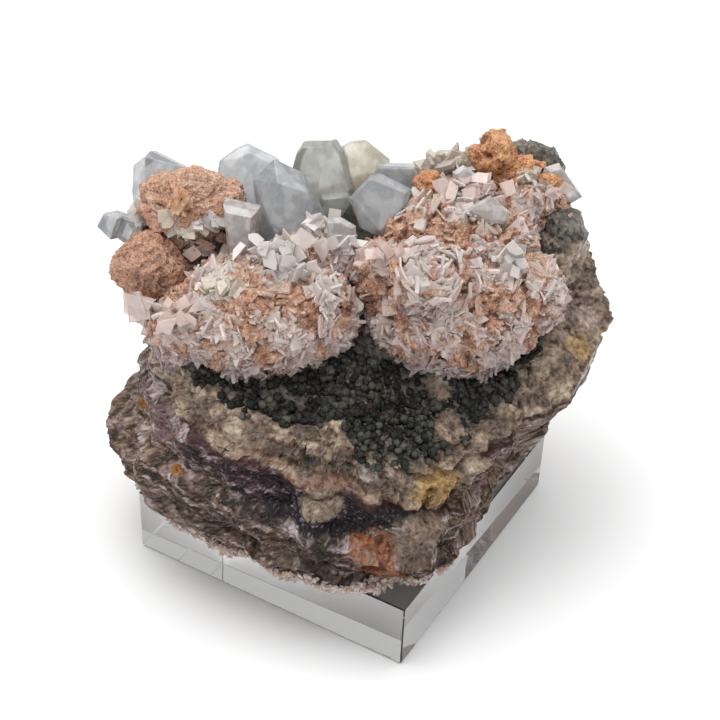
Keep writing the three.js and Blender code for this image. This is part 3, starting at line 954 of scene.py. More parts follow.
    def shell(self) -> Shell:
        """The rock's grid of bearing by level, displaced and painted."""
        start, end = (degrees / 360 for degrees in self.front)
        front = np.linspace(start, end, self.front_columns, endpoint=False)
        back = np.linspace(end, start + 1, self.back_columns, endpoint=False)
        turns = np.concatenate([front, back])
        levels = np.concatenate([
            np.linspace(low, high, count, endpoint=False) for low, high, count in self.rows
        ])
        level_grid, turn_grid = np.meshgrid(levels, turns, indexing="ij")
        turn, level = turn_grid.ravel(), level_grid.ravel()
        points, outward = self.surface(turn, level)
        rise = self.rise(turn, level, points)
        along = (turn - start) * 2 * math.pi * self.flow_radius
        flow = np.stack([along, rise * self.band_height], axis=1)
        fibrous = 1 - smooth_step(rise, -0.04, 0.0)
        for stain in self.stains[self.first_clear_stain:]:
            fibrous *= 1 - 0.8 * stain.share(points, 0 * rise)
        relief = self.relief(points, flow, fibrous)
        left = window(turn % 1, 0.42, 0.47, 0.54, 0.59)
        relief += left * (np.clip(relief, -1.2, 0.6) - relief)
        calm = smooth_step(level, 0.0, 0.12) * (1 - 0.7 * smooth_step(level, 2.3, 2.6))
        lift = (relief - self.drawn_in(turn % 1, level)) * calm
        lift += 1.4 * self.outcrop(points) * smooth_step(level, 2.0, 2.2)
        colour = self.colours(turn, level, points, flow, relief)
        points = points + outward * lift[:, None]
        points[:, 2] = np.maximum(points[:, 2], 0)
        poles = np.array([[0, 0, 0], [0, 0, self.crown_height]], dtype=float)
        return Shell(
            np.concatenate([points, poles]),
            grid_faces(len(levels), len(turns))[:, ::-1],
            np.concatenate([rgba(colour, fibrous), np.zeros((2, 4))]),
            np.concatenate([flow, np.zeros((2, 2))]),
        )

    def build(self, material: bpy.types.Material) -> None:
        """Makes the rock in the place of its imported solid."""
        Piece.make("rock", self.shell(), material, "banded_fluorite", ["fluorite_matrix"], False)


@dataclass
class Boulder:
    """A rough lump fused to the rock.

    Attributes:
        lump: its place and half sizes.
        dark: tone of its darker patches.
        light: tone of most of it.
        accent: tone of its palest patches.
        seed: picks the chips and the patches.
        broken: depth of the large chips, in millimetres.
        dark_above: share of its half height above which it is dark green; 2 is nowhere.
        rows: rings of the ball.
        columns: points in a ring.
    """

    lump: Lump
    dark: Tone
    light: Tone
    accent: Tone
    seed: int
    broken: float = 2.8
    dark_above: float = 2.0
    rows: int = 90
    columns: int = 120

    def shell(self) -> Shell:
        """A ball pushed in and out by chips and noise."""
        ball, faces = ball_grid(self.rows, self.columns)
        plain = ball * np.array(self.lump.radii) + np.array(self.lump.at)
        outward = self.lump.outward(plain)
        push = self.broken * chipped(plain, 6.5, self.seed)
        push += 0.14 * self.broken * chipped(plain, 2.6, self.seed + 3)
        push += 0.4 * layered(plain, 4.0, 2, self.seed + 7) - 0.5
        points = plain + outward * push[:, None]
        patchy = 0.5 + 0.5 * layered(plain, 3.0, 3, self.seed + 13)
        colour = ramp(patchy, [0.0, 0.5, 0.8, 1.0], [self.dark, self.light, self.light, self.accent])
        top = ramp(patchy, [0.2, 0.9], [Tone.SPHERULE_DARK, Tone.PEAK_GREEN])
        over = ball[:, 2] + 0.5 * (patchy - 0.5) - self.dark_above
        colour = mixed(colour, top, smooth_step(over, 0.0, 0.15))
        # painted shade: darker where the chips sink in
        colour = mixed(colour, 0.3 * colour, smooth_step(-push, 0.8, 2.4))
        return Shell(points, faces, rgba(colour, 0 * patchy))


@dataclass
class BoulderGroup:
    """The lumps that stand on the rock's shoulders, at the back and under the left balls."""

    boulders: tuple[Boulder, ...] = (
        Boulder(Lump((41, 33, 66), (10.4, 7.4, 10.4)), Tone.SPHERULE_DARK, Tone.PEAK_GREEN,
                Tone.GREY_CLEAR, 201, 1.5),
        Boulder(Lump((25, 30, 57), (7.6, 6.6, 8.6)), Tone.RIM_BROWN, Tone.RIM_TAN,
                Tone.RIM_CLEAR, 223),
        Boulder(Lump((49, 16, 57), (6.6, 7.6, 11.4)), Tone.RIM_BROWN, Tone.RIM_CLEAR,
                Tone.PINK_WHITE, 241, 2.4, 0.3),
        Boulder(Lump((-40.5, 14, 53), (12.4, 11.4, 8.6)), Tone.FOLD_DARK, Tone.RUST_DARK_AND_PIT_SHADE,
                Tone.RUST_TAN, 263),
        Boulder(Lump((-41, 5, 45), (9.6, 8.6, 8.6)), Tone.FOLD_BROWN, Tone.MAUVE,
                Tone.FOLD_PALE, 281),
    )
    above_bands: float = 60.0

    def build(self, material: bpy.types.Material) -> None:
        """Makes the lumps as one piece, whose pattern lies clear of the rock's red line."""
        shell = joined([boulder.shell() for boulder in self.boulders])
        shell.flow = shell.points[:, :2] * np.array([1.0, 0.0]) + shell.points[:, 2:] + self.above_bands
        Piece.make("shoulder_lumps", shell, material, "banded_fluorite", ["fluorite_matrix"], True)


@dataclass
class DarkDruse:
    """The little dark balls that line the hollow behind the rim and spill over it in front."""

    rock: FluoriteRock
    count: int = 2800
    radius: tuple[float, float] = (0.36, 1.2)
    rows: int = 5
    columns: int = 7
    turns: tuple[float, float] = (0.5, 1.06)
    top_level: float = 3.4
    seed: int = 31

    def seats(self) -> tuple[Array, Array]:
        """Random places on the rock between the druse's edge and the top level, and their outs."""
        dice = np.random.default_rng(self.seed)
        tries = self.count * 4
        turn = dice.uniform(*self.turns, tries)
        low = around(self.rock.druse_edge, turn * 360)
        level = low + (self.top_level - low) * dice.random(tries) ** 1.25
        points, outward = self.rock.surface(turn, level)
        gaps = layered(points, 3.2, 3, 17) + 1.2 * smooth_step(level - low, 0.03, 0.3)
        bare = self.rock.outcrop(points)
        kept = np.nonzero((gaps > 0.15) & (bare < 0.3))[0][: self.count]
        return points[kept], outward[kept]

    def shell(self) -> Shell:
        """Small balls heaped in clusters, each with a knobbly skin, with painted shade on its underside and
        on balls low between the heaps.
        """
        dice = np.random.default_rng(self.seed + 1)
        seats, outward = self.seats()
        low, high = self.radius
        size = low + (high - low) * dice.random(len(seats)) ** 1.9
        ball, faces = ball_grid(self.rows, self.columns)
        spin = unit(dice.normal(size=(len(seats), 3)))
        side = unit(np.cross(spin, dice.normal(size=(len(seats), 3))))
        basis = np.stack([spin, side, np.cross(spin, side)], axis=1)
        local = np.einsum("bk,nkj->nbj", ball, basis) * size[:, None, None]
        heap = 1.5 * np.maximum(layered(seats, 4.5, 2, 19), -0.4)
        lift = dice.uniform(-0.2, 0.7, len(seats)) * size + heap
        middle = seats + outward * lift[:, None]
        flat = (middle[:, None, :] + local).reshape(-1, 3)
        knobs = 1 + 0.22 * soft_noise(flat, 0.55, 5)
        points = middle[:, None, :] + local * knobs.reshape(len(seats), -1, 1)
        # painted shade: balls that lie low between the heaps are darker, over a random tone for each ball
        shade = dice.random(len(seats)) ** 1.2 * smooth_step(heap, -0.5, 0.9)
        colour = mixed(tone(Tone.SPHERULE_DARK)[None], tone(Tone.SPHERULE)[None], shade)
        colour = mixed(colour, tone(Tone.SPHERULE_RED)[None], 0.7 * (dice.random(len(seats)) < 0.025))
        # painted shade: each ball darker on the side turned in towards the rock
        facing = np.einsum("nbj,nj->nb", local, outward) / size[:, None]
        painted_underside_shade = (0.12 + 0.88 * smooth_step(facing, -0.4, 0.8)).reshape(-1, 1)
        paint = rgba(np.repeat(colour, len(ball), axis=0) * painted_underside_shade, np.repeat(shade, len(ball)))
        stride = np.arange(len(seats))[:, None, None] * len(ball)
        return Shell(points.reshape(-1, 3), (faces[None] + stride).reshape(-1, 3), paint)

    def build(self, material: bpy.types.Material) -> None:
        """Makes the druse as one piece."""
        Piece.make("dark_spherules", self.shell(), material, "dark_druse", ["dark_druse"], True)


def between_limits(limits: Sequence[tuple[float, float]], chance: Array) -> Array:
    """Half width, length and thickness by the row: least plus chance times the rest up to most."""
    low, high = np.array(limits).T
    return low + (high - low) * chance


@dataclass
class BladeSet:
    """Many thin tabular crystals given by arrays, one row each.

    Attributes:
        root: where each blade stands, in specimen millimetres.
        out: the direction that it points.
        face: the direction across its broad face, square to out.
        size: half width, length and thickness.
        paint: colour and rust mask of its tip.
        base: colour and rust mask of its root.
        seed: picks how the corners are cut.
        corners: corners of the outline.
        bevel: how far the broad faces are drawn in, as a share of the thickness.
    """

    root: Array
    out: Array
    face: Array
    size: Array
    paint: Array
    base: Array
    seed: int = 1
    corners: int = 6
    bevel: float = 0.16

    def shell(self) -> Shell:
        """All blades as one shell.

        The outline is a six-cornered plate, a little askew, with its two tip corners cut by chance.
        Its rim lies in the middle plane and both broad faces are drawn in a little, so the edges
        come out crisp.
        """
        dice = np.random.default_rng(self.seed)
        count = len(self.root)
        cut = dice.uniform(0.02, 0.85, (count, 4)) ** 1.5
        skew = dice.uniform(-0.35, 0.35, (count, 1))
        one = np.ones(count)
        across = np.stack([-one, one, one, 1 - cut[:, 0], -1 + cut[:, 1], -one], axis=1)
        along = np.stack([0 * one, 0 * one, 1 - 0.6 * cut[:, 2], one, one, 1 - 0.6 * cut[:, 3]], axis=1)
        along = along * (1 + skew * across)
        half = self.size[:, 0:1]
        length = self.size[:, 1:2]
        drawn = self.bevel * self.size[:, 2:3]
        rim = np.stack([across * half, along * length, 0 * across], axis=-1)
        inner_x = across * np.maximum(half - drawn, 0.3 * half)
        inner_y = 0.5 * length + (along - 0.5) * np.maximum(length - 2 * drawn, 0.3 * length)
        thick = np.repeat(0.5 * self.size[:, 2:3], self.corners, axis=1)
        top = np.stack([inner_x, inner_y, thick], axis=-1)
        bottom = np.stack([inner_x, inner_y, -thick], axis=-1)
        local = np.concatenate([rim, top, bottom], axis=1)
        side = np.cross(self.out, self.face)
        basis = np.stack([side, self.out, np.cross(side, self.out)], axis=1)
        points = self.root[:, None] + np.einsum("nbk,nkj->nbj", local, basis)
        rise = np.clip(np.concatenate([along, along, along], axis=1), 0, 1)[..., None]
        paint = self.base[:, None] * (1 - rise) + self.paint[:, None] * rise
        stride = np.arange(count)[:, None, None] * 3 * self.corners
        faces = (self.faces()[None] + stride).reshape(-1, 3)
        return Shell(points.reshape(-1, 3), faces, paint.reshape(-1, 4))

    def faces(self) -> Array:
        """Triangles of one blade: two bevels round the rim and the two broad faces."""
        n = self.corners
        i = np.arange(n)
        j = (i + 1) % n
        fan = np.stack([np.zeros(n - 2, int), np.arange(1, n - 1), np.arange(2, n)], axis=1)
        return np.concatenate([
            np.stack([i, j, n + j], axis=1), np.stack([i, n + j, n + i], axis=1),
            np.stack([2 * n + i, 2 * n + j, j], axis=1), np.stack([2 * n + i, j, i], axis=1),
            n + fan, 2 * n + fan[:, ::-1],
        ])


@dataclass(frozen=True)
class BladeKind:
    """One kind of blade on a rosette.

    Attributes:
        count: how many.
        half: least and most half width, in millimetres.
        length: least and most length.
        thick: least and most thickness.
        lean: how far the blades lean off the straight way out, as a slope.
        laid: share of blades that lie nearly flat on the skin.
        book: distance over which neighbours stay near parallel.
        depth: share of the length that is set into the core.
        rusty: how strongly the rust coat reaches the tips.
        gaps: patches of noise under this value stay bare.
        seed: picks the places.
    """

    count: int
    half: tuple[float, float]
    length: tuple[float, float]
    thick: tuple[float, float]
    lean: float
    laid: float
    book: float
    depth: float
    rusty: float
    gaps: float
    seed: int


@dataclass
class BaryteRosette:
    """A swollen cluster of granular baryte, covered with fans of small blades."""

    name: str
    node: str
    lumps: tuple[Lump, ...]
    seed: int
    core_rows: int = 130
    core_columns: int = 180
    blade_shrink: float = 1.3
    kinds: tuple[BladeKind, ...] = (
        BladeKind(760, (1.1, 2.8), (2.4, 5.0), (0.45, 1.1), 0.7, 0.66, 5.0, 0.5, 0.5, -0.22, 1),
        BladeKind(2100, (0.6, 1.7), (1.2, 3.0), (0.3, 0.8), 0.7, 0.6, 2.4, 0.42, 0.7, -0.3, 11),
        BladeKind(1900, (0.3, 0.9), (0.6, 1.6), (0.2, 0.5), 0.9, 0.4, 1.2, 0.4, 0.8, -0.45, 23),
    )

    def rust(self, points: Array, height: Array) -> Array:
        """Share of rust coat: patches of noise, more on the upper half."""
        patches = layered(points, 6.0, 4, self.seed + 40, 0.6)
        return 0.42 + 0.6 * patches + 0.4 * height

    def tint(self, points: Array, height: Array, rust: Array) -> Array:
        """Paint of the core: mauve towards the bottom as painted shade, tan and orange where it is rusty."""
        mottle = 0.5 + 0.5 * layered(points, 2.0, 4, self.seed + 50, 0.7)
        # painted shade: the core runs to mauve towards its bottom
        plain = ramp(0.5 + 0.5 * height, [0.1, 0.6, 1.0], [
            Tone.BLADE_SHADED_MAUVE, Tone.BLADE_PINK, Tone.BLADE_PINK])
        rusty = ramp(mottle, [0.0, 0.35, 0.7, 1.0], [
            Tone.RUST_DARK_AND_PIT_SHADE, Tone.RUST_ORANGE, Tone.RUST_TAN, Tone.RUST_TAN])
        return mixed(plain, rusty, smooth_step(rust, 0.2, 0.5))

    def core(self, lump: Lump, order: int) -> Shell:
        """One lump of the core, broken into flat chips of three sizes."""
        scale = max(lump.radii) / 22
        rows = int(self.core_rows * max(scale, 0.4))
        columns = int(self.core_columns * max(scale, 0.4))
        ball, faces = ball_grid(rows, columns)
        shrunk = np.array(lump.radii) - self.blade_shrink
        plain = ball * shrunk + np.array(lump.at)
        outward = lump.outward(plain)
        push = 2.0 * chipped(plain, 4.2, self.seed + order) + 1.2 * chipped(plain, 2.0, self.seed + 5)
        push += 0.7 * chipped(plain, 0.95, self.seed + 7) + 0.5 * layered(plain, 4.0, 3, self.seed + 9)
        points = plain + outward * push[:, None]
        height = (plain[:, 2] - lump.at[2]) / lump.radii[2]
        rust = self.rust(plain, height)
        colour = self.tint(plain, height, rust)
        # painted shade: darker where the chips sink in
        colour = mixed(colour, 0.3 * colour, smooth_step(-push, 0.4, 1.6))
        return Shell(points, faces, rgba(colour, rust + 0.35))

    def blade_set(self, kind: BladeKind) -> BladeSet:
        """Blades of one kind on the outer skin.

        A blade leans off the straight way out by the kind's spread, and some are laid nearly flat.
        The direction across its face turns slowly from place to place, so that neighbours lie in
        near-parallel books.
        """
        dice = np.random.default_rng(self.seed + kind.seed)
        weights = np.array([np.prod(lump.radii) ** (2 / 3) for lump in self.lumps])
        share = dice.choice(len(self.lumps), size=kind.count * 3, p=weights / weights.sum())
        way = unit(dice.normal(size=(len(share), 3)))
        at = np.array([lump.at for lump in self.lumps])[share]
        radii = np.array([lump.radii for lump in self.lumps])[share]
        root = at + way * (radii - self.blade_shrink)
        clear = layered(root, 5.0, 3, self.seed + 3) > kind.gaps
        for order, lump in enumerate(self.lumps):
            clear &= (lump.depth(root) < 0.02) | (share == order)
        height = (root[:, 2] - at[:, 2]) / radii[:, 2]
        clear &= (self.rust(root, height) < 0.58) | (dice.random(len(share)) < kind.half[1] / 5)
        keep = np.nonzero(clear)[0][: kind.count]
        root, way, radii, height = root[keep], way[keep], radii[keep], height[keep]
        normal = unit(way / radii)
        count = len(root)
        twist = 2.2 * math.pi * layered(root, kind.book, 2, self.seed + 70) + dice.normal(0, 0.25, count)
        guide = unit(np.cross(normal, np.array([0.3, 0.2, 0.93])))
        other = np.cross(normal, guide)
        face = unit(guide * np.cos(twist)[:, None] + other * np.sin(twist)[:, None])
        tilt = kind.lean * layered(root + 31.0, kind.book, 2, self.seed + 90) * 1.8
        flat = dice.uniform(1.2, 3.4, count) * np.sign(dice.normal(size=count))
        tilt = np.where(dice.random(count) < kind.laid, flat, tilt)
        lean = np.stack([tilt, 0.4 * kind.lean * dice.normal(0, 1, count)], axis=1)
        lean += dice.normal(0, 0.22, (count, 2))
        out = unit(normal + face * lean[:, 0:1] + np.cross(normal, face) * lean[:, 1:2])
        face = unit(face - out * np.einsum("ij,ij->i", face, out)[:, None])
        rust = self.rust(root, height)
        big = dice.random((count, 3)) ** np.array([1.5, 1.2, 1.3])
        size = between_limits((kind.half, kind.length, kind.thick), big)
        # painted shade: blades low on their lump run to mauve and are darkened, over a random tone for each
        # blade
        pale = ramp(dice.random(count) * 0.6 + 0.55 * height + 0.08, [0.0, 0.4, 0.85], [
            Tone.BLADE_SHADED_MAUVE, Tone.BLADE_PINK, Tone.BLADE_PALE])
        pale *= (0.56 + 0.44 * smooth_step(height, -0.9, 0.1))[:, None]
        rusty = ramp(dice.random(count), [0.0, 0.5, 1.0], [
            Tone.RUST_ORANGE, Tone.RUST_TAN, Tone.RUST_TAN])
        base = rgba(mixed(pale, rusty, 0.2 + 0.6 * rust), 0.1 + 0.8 * rust)
        tip = rgba(mixed(pale, rusty, smooth_step(rust, 0.6, 1.1)), kind.rusty * rust - 0.1)
        set_in = kind.depth * size[:, 1]
        return BladeSet(root - out * set_in[:, None], out, face, size, tip, base, self.seed)

    def build(self, blade: bpy.types.Material) -> None:
        """Makes the core and the blades."""
        core = joined([self.core(lump, order) for order, lump in enumerate(self.lumps)])
        Piece.make(self.name + "_core", core, blade, "baryte_rosette", [self.node], True)
        blades = joined([self.blade_set(kind).shell() for kind in self.kinds])
        Piece.make(self.name + "_blades", blades, blade, "baryte_rosette", [self.node], False)


@dataclass
class OpenRose:
    """A loose wreath of larger pale plates that lie round a rusty heart.

    Attributes:
        at: the middle of the rose on the skin that carries it.
        axis: the way that it faces.
        rings: radius, number of plates, how far the faces look up, and half width, for each ring.
    """

    name: str
    node: str
    at: tuple[float, float, float]
    axis: tuple[float, float, float]
    seed: int
    rings: tuple[tuple[float, int, float, float], ...] = (
        (2.6, 7, -0.4, 0.9), (4.0, 11, 0.2, 1.2), (5.2, 15, 0.9, 1.4),
        (6.4, 16, 0.5, 1.5), (7.4, 13, 0.2, 1.3),
    )
    length: tuple[float, float] = (2.2, 4.6)
    thick: tuple[float, float] = (0.4, 1.0)
    depth: float = 0.42

    def blade_set(self) -> BladeSet:
        """Plates laid loosely along rings round the axis, each with a face turned out and up."""
        dice = np.random.default_rng(self.seed)
        axis = unit(np.array(self.axis, dtype=float))
        first = unit(np.cross(axis, np.array([0.0, 1.0, 0.2])))
        second = np.cross(axis, first)
        rows = np.array([row for row in self.rings for _ in range(row[1])])
        count = len(rows)
        order = np.concatenate([np.arange(row[1]) / row[1] for row in self.rings])
        angle = 2 * math.pi * order + rows[:, 0] * 1.3 + dice.normal(0, 0.3, count)
        away = np.cos(angle)[:, None] * first + np.sin(angle)[:, None] * second
        radius = rows[:, 0] + dice.normal(0, 0.55, count)
        drop = 0.05 * radius**2
        root = np.array(self.at) + away * radius[:, None] - axis * drop[:, None]
        lean = rows[:, 2] + dice.normal(0, 0.3, count)
        side = np.cross(axis, away)
        turned = side * np.sign(dice.normal(size=count))[:, None]
        out = unit(turned + 0.35 * axis + dice.normal(0, 0.3, (count, 3)))
        face = axis * lean[:, None] + away + dice.normal(0, 0.25, (count, 3))
        face = unit(face - out * np.einsum("ij,ij->i", face, out)[:, None])
        length = dice.uniform(*self.length, count)
        size = np.stack([rows[:, 3] * dice.uniform(0.6, 1.25, count), length,
                         dice.uniform(*self.thick, count)], axis=1)
        pale = ramp(dice.random(count), [0.0, 1.0], [Tone.BLADE_PINK, Tone.BLADE_PALE])
        base = rgba(mixed(pale, tone(Tone.RUST_TAN)[None], 0.3 + 0 * angle), 0.3 + 0 * angle)
        tip = rgba(pale, 0.1 + 0 * angle)
        return BladeSet(root - out * (self.depth * length)[:, None], out, face, size, tip, base, self.seed)

    def build(self, blade: bpy.types.Material) -> None:
        """Makes the rose."""
        Piece.make(self.name, self.blade_set().shell(), blade, "baryte_rosette", [self.node], False)


@dataclass(frozen=True)
class Spray:
    """A handful of plates of one tone about a place, most of them turned one way.

    Attributes:
        at: the middle, in specimen millimetres.
        spread: half sizes of the heap, across, away and up.
        count: how many plates.
        half: least and most half width.
        length: least and most length.
        thick: least and most thickness.
        face: the way that the broad faces look.
        loose: how far they stray from it.
        colour: tone of the plates.
        rust: rust mask from 0 to 1.
    """

    at: tuple[float, float, float]
    spread: tuple[float, float, float]
    count: int
    half: tuple[float, float]
    length: tuple[float, float]
    thick: tuple[float, float]
    face: tuple[float, float, float]
    loose: float
    colour: Tone
    rust: float = 0.0

    def blade_set(self, seed: int) -> BladeSet:
        """The plates as arrays, each a little lighter or darker than the tone."""
        dice = np.random.default_rng(seed)
        middle = np.array(self.at) + dice.normal(0, 0.5, (self.count, 3)) * np.array(self.spread)
        face = unit(unit(np.array(self.face, dtype=float)) + dice.normal(0, self.loose, (self.count, 3)))
        out = unit(np.cross(face, dice.normal(size=(self.count, 3))))
        size = between_limits((self.half, self.length, self.thick), dice.random((self.count, 3)))
        shade = dice.uniform(0.82, 1.06, self.count)[:, None] * tone(self.colour)
        paint = rgba(shade, self.rust + dice.uniform(-0.15, 0.15, self.count))
        root = middle - 0.5 * out * size[:, 1:2]
        return BladeSet(root, out, face, size, paint, paint, seed)


@dataclass
class PlateSprays:
    """Heaps of plates that stand out by their size or tone."""

    name: str
    node: str
    sprays: tuple[Spray, ...]
    seed: int

    def build(self, slot: str, blade: bpy.types.Material) -> None:
        """Makes the heaps as one piece."""
        shells = [spray.blade_set(self.seed + order).shell() for order, spray in enumerate(self.sprays)]
        Piece.make(self.name, joined(shells), blade, slot, [self.node], False)


@dataclass
class CrystalFringe:
    """Small pinkish-white crystals along the rock's lower front edge."""

    rock: FluoriteRock
    count: int = 700
    turns: tuple[float, float] = (0.545, 0.86)
    levels: tuple[float, float] = (0.02, 0.2)
    half: tuple[float, float] = (0.3, 0.9)
    length: tuple[float, float] = (0.8, 2.0)
    thick: tuple[float, float] = (0.4, 1.0)
    seed: int = 77

    def blade_set(self) -> BladeSet:
        """Stubby crystals that stand out of the rock every way."""
        dice = np.random.default_rng(self.seed)
        turn = dice.uniform(*self.turns, self.count)
        level = dice.uniform(*self.levels, self.count)
        root, outward = self.rock.surface(turn, level)
        out = unit(outward + dice.normal(0, 0.5, (self.count, 3)))
        face = unit(np.cross(out, dice.normal(size=(self.count, 3))))
        size = between_limits((self.half, self.length, self.thick), dice.random((self.count, 3)))
        pale = ramp(dice.random(self.count), [0.0, 0.5, 1.0], [
            Tone.RUST_TAN, Tone.PINK_WHITE, Tone.BLADE_PALE])
        paint = rgba(pale, 0.3 * dice.random(self.count))
        root[:, 2] = np.maximum(root[:, 2], 0.8)
        return BladeSet(root, out, face, size, paint, paint, self.seed)

    def build(self, blade: bpy.types.Material) -> None:
        """Makes the fringe."""
        shell = self.blade_set().shell()
        Piece.make("lower_fringe", shell, blade, "baryte_rosette", ["fluorite_matrix"], False)


@dataclass
class RustBall:
    """A ball, or a few grown together, of fine grained, rust-tan baryte.

    Attributes:
        name: the piece's name.
        node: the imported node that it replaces.
        lumps: the balls.
        seed: picks the grains and the patches.
        light: tone of most of the skin.
        deep: tone of its darker patches.
        swell: depth of the broad swells, in millimetres.
        broken: depth of the broken facets.
        density: rings of the ball's grid for each millimetre of radius.
    """

    name: str
    node: str
    lumps: tuple[Lump, ...]
    seed: int
    light: Tone = Tone.RUST_TAN
    deep: Tone = Tone.RUST_ORANGE
    swell: float = 0.9
    broken: float = 0.5
    density: float = 13.0

    def lump_shell(self, lump: Lump, order: int) -> Shell:
        """A ball with a few swells and a dense skin of half-millimetre grains."""
        rows = int(self.density * max(lump.radii))
        ball, faces = ball_grid(rows, int(1.45 * rows))
        plain = ball * (np.array(lump.radii) - 0.5) + np.array(lump.at)
        outward = lump.outward(plain)
        _, cell, chance = nearest_cell(plain, 0.8, self.seed)
        grains = 0.34 * (0.55 - cell) + 0.35 * chipped(plain, 1.6, self.seed + 2)
        push = self.swell * layered(plain, 5.0, 3, self.seed + 3 + order)
        push += 0.3 * ridged(plain, 2.4, 2, self.seed + 5) + self.broken * chipped(plain, 4.6, self.seed + 6)
        points = plain + outward * (push + grains)[:, None]
        share = 0.5 + 0.45 * layered(plain, 4.0, 3, self.seed + 8) + 0.4 * (chance[:, 0] - 0.5)
        colour = ramp(share, [0.0, 0.5, 1.0], [self.deep, self.light, self.light])
        # painted shade: the grains' hollows and sunken swells take the dark rust tone
        colour = mixed(colour, tone(Tone.RUST_DARK_AND_PIT_SHADE)[None], smooth_step(-grains - 0.3 * push, 0.0, 0.4) * 0.8)
        return Shell(points, faces, rgba(colour, 0 * share + 1))

    def build(self, material: bpy.types.Material) -> None:
        """Makes the balls as one piece."""
        shell = joined([self.lump_shell(lump, order) for order, lump in enumerate(self.lumps)])
        Piece.make(self.name, shell, material, "rust_stained_baryte", [self.node], True)


@dataclass(frozen=True)
class Crystal:
    """One large tabular crystal, a convex body between a front face, a rim and a back face.

    Attributes:
        at: its middle, in specimen millimetres.
        outline: corners of the rim, across and up.
        thickness: from the front face to the back face.
        front: corners of the front face; the outline drawn in where there are none.
        lean: degrees that the top leans away.
        yaw: degrees that it is turned about the upright.
        rim: places of the rim's two edges, as shares of half the thickness, front then back.
        drawn: scale of the back face, and of a front face without its own corners.
    """

    at: tuple[float, float, float]
    outline: tuple[tuple[float, float], ...]
    thickness: float
    front: tuple[tuple[float, float], ...] = ()
    lean: float = 30
    yaw: float = 0
    rim: tuple[float, float] = (-0.6, 0.55)
    drawn: float = 0.86

    def corners(self) -> Array:
        """The body's corners in specimen millimetres."""
        edge = np.array(self.outline, dtype=float)
        middle = edge.mean(axis=0)
        drawn = middle + self.drawn * (edge - middle)
        face = np.array(self.front, dtype=float) if self.front else drawn
        half = self.thickness / 2
        layers = ((face, -half), (edge, self.rim[0] * half), (edge, self.rim[1] * half), (drawn, half))
        local = np.concatenate([
            np.stack([flat[:, 0], np.full(len(flat), depth), flat[:, 1]], axis=1) for flat, depth in layers
        ])
        lean, yaw = math.radians(-self.lean), math.radians(self.yaw)
        tip = np.array([[1, 0, 0], [0, math.cos(lean), -math.sin(lean)], [0, math.sin(lean), math.cos(lean)]])
        turn = np.array([[math.cos(yaw), -math.sin(yaw), 0], [math.sin(yaw), math.cos(yaw), 0], [0, 0, 1]])
        return local @ (turn @ tip).T + np.array(self.at)


@dataclass
class CrystalGroup:
    """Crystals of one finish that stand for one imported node, with softly worn edges."""

    node: str
    crystals: tuple[Crystal, ...]
    wear: float = 0.24

    def build(self, slot: str, material: bpy.types.Material) -> None:
        """Wraps each crystal's corners in their convex hull and bevels its edges."""
        mesh = bpy.data.meshes.new(self.node)
        bench = bmesh.new()
        for crystal in self.crystals:
            corners = [bench.verts.new(point) for point in to_row_frame(crystal.corners())]
            hull = bmesh.ops.convex_hull(bench, input=corners)
            spare = {item for item in hull["geom_interior"] if isinstance(item, bmesh.types.BMVert)}
            bmesh.ops.delete(bench, geom=list(spare), context="VERTS")
        bmesh.ops.dissolve_limit(
            bench, angle_limit=math.radians(1), verts=list(bench.verts), edges=list(bench.edges)
        )
        bmesh.ops.recalc_face_normals(bench, faces=list(bench.faces))
        bench.to_mesh(mesh)
        bench.free()
        piece = bpy.data.objects.new(self.node.replace("baryte_", ""), mesh)
        bpy.context.scene.collection.objects.link(piece)
        mesh.materials.append(material)
        bevel = piece.modifiers.new("worn_edges", "BEVEL")
        bevel.width = self.wear * MM
        bevel.segments = 2
        bevel.limit_method = "ANGLE"
        bevel.angle_limit = math.radians(12)
        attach(piece, "root")
        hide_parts(self.node)
        log.info("%s: %d crystals", piece.name, len(self.crystals))


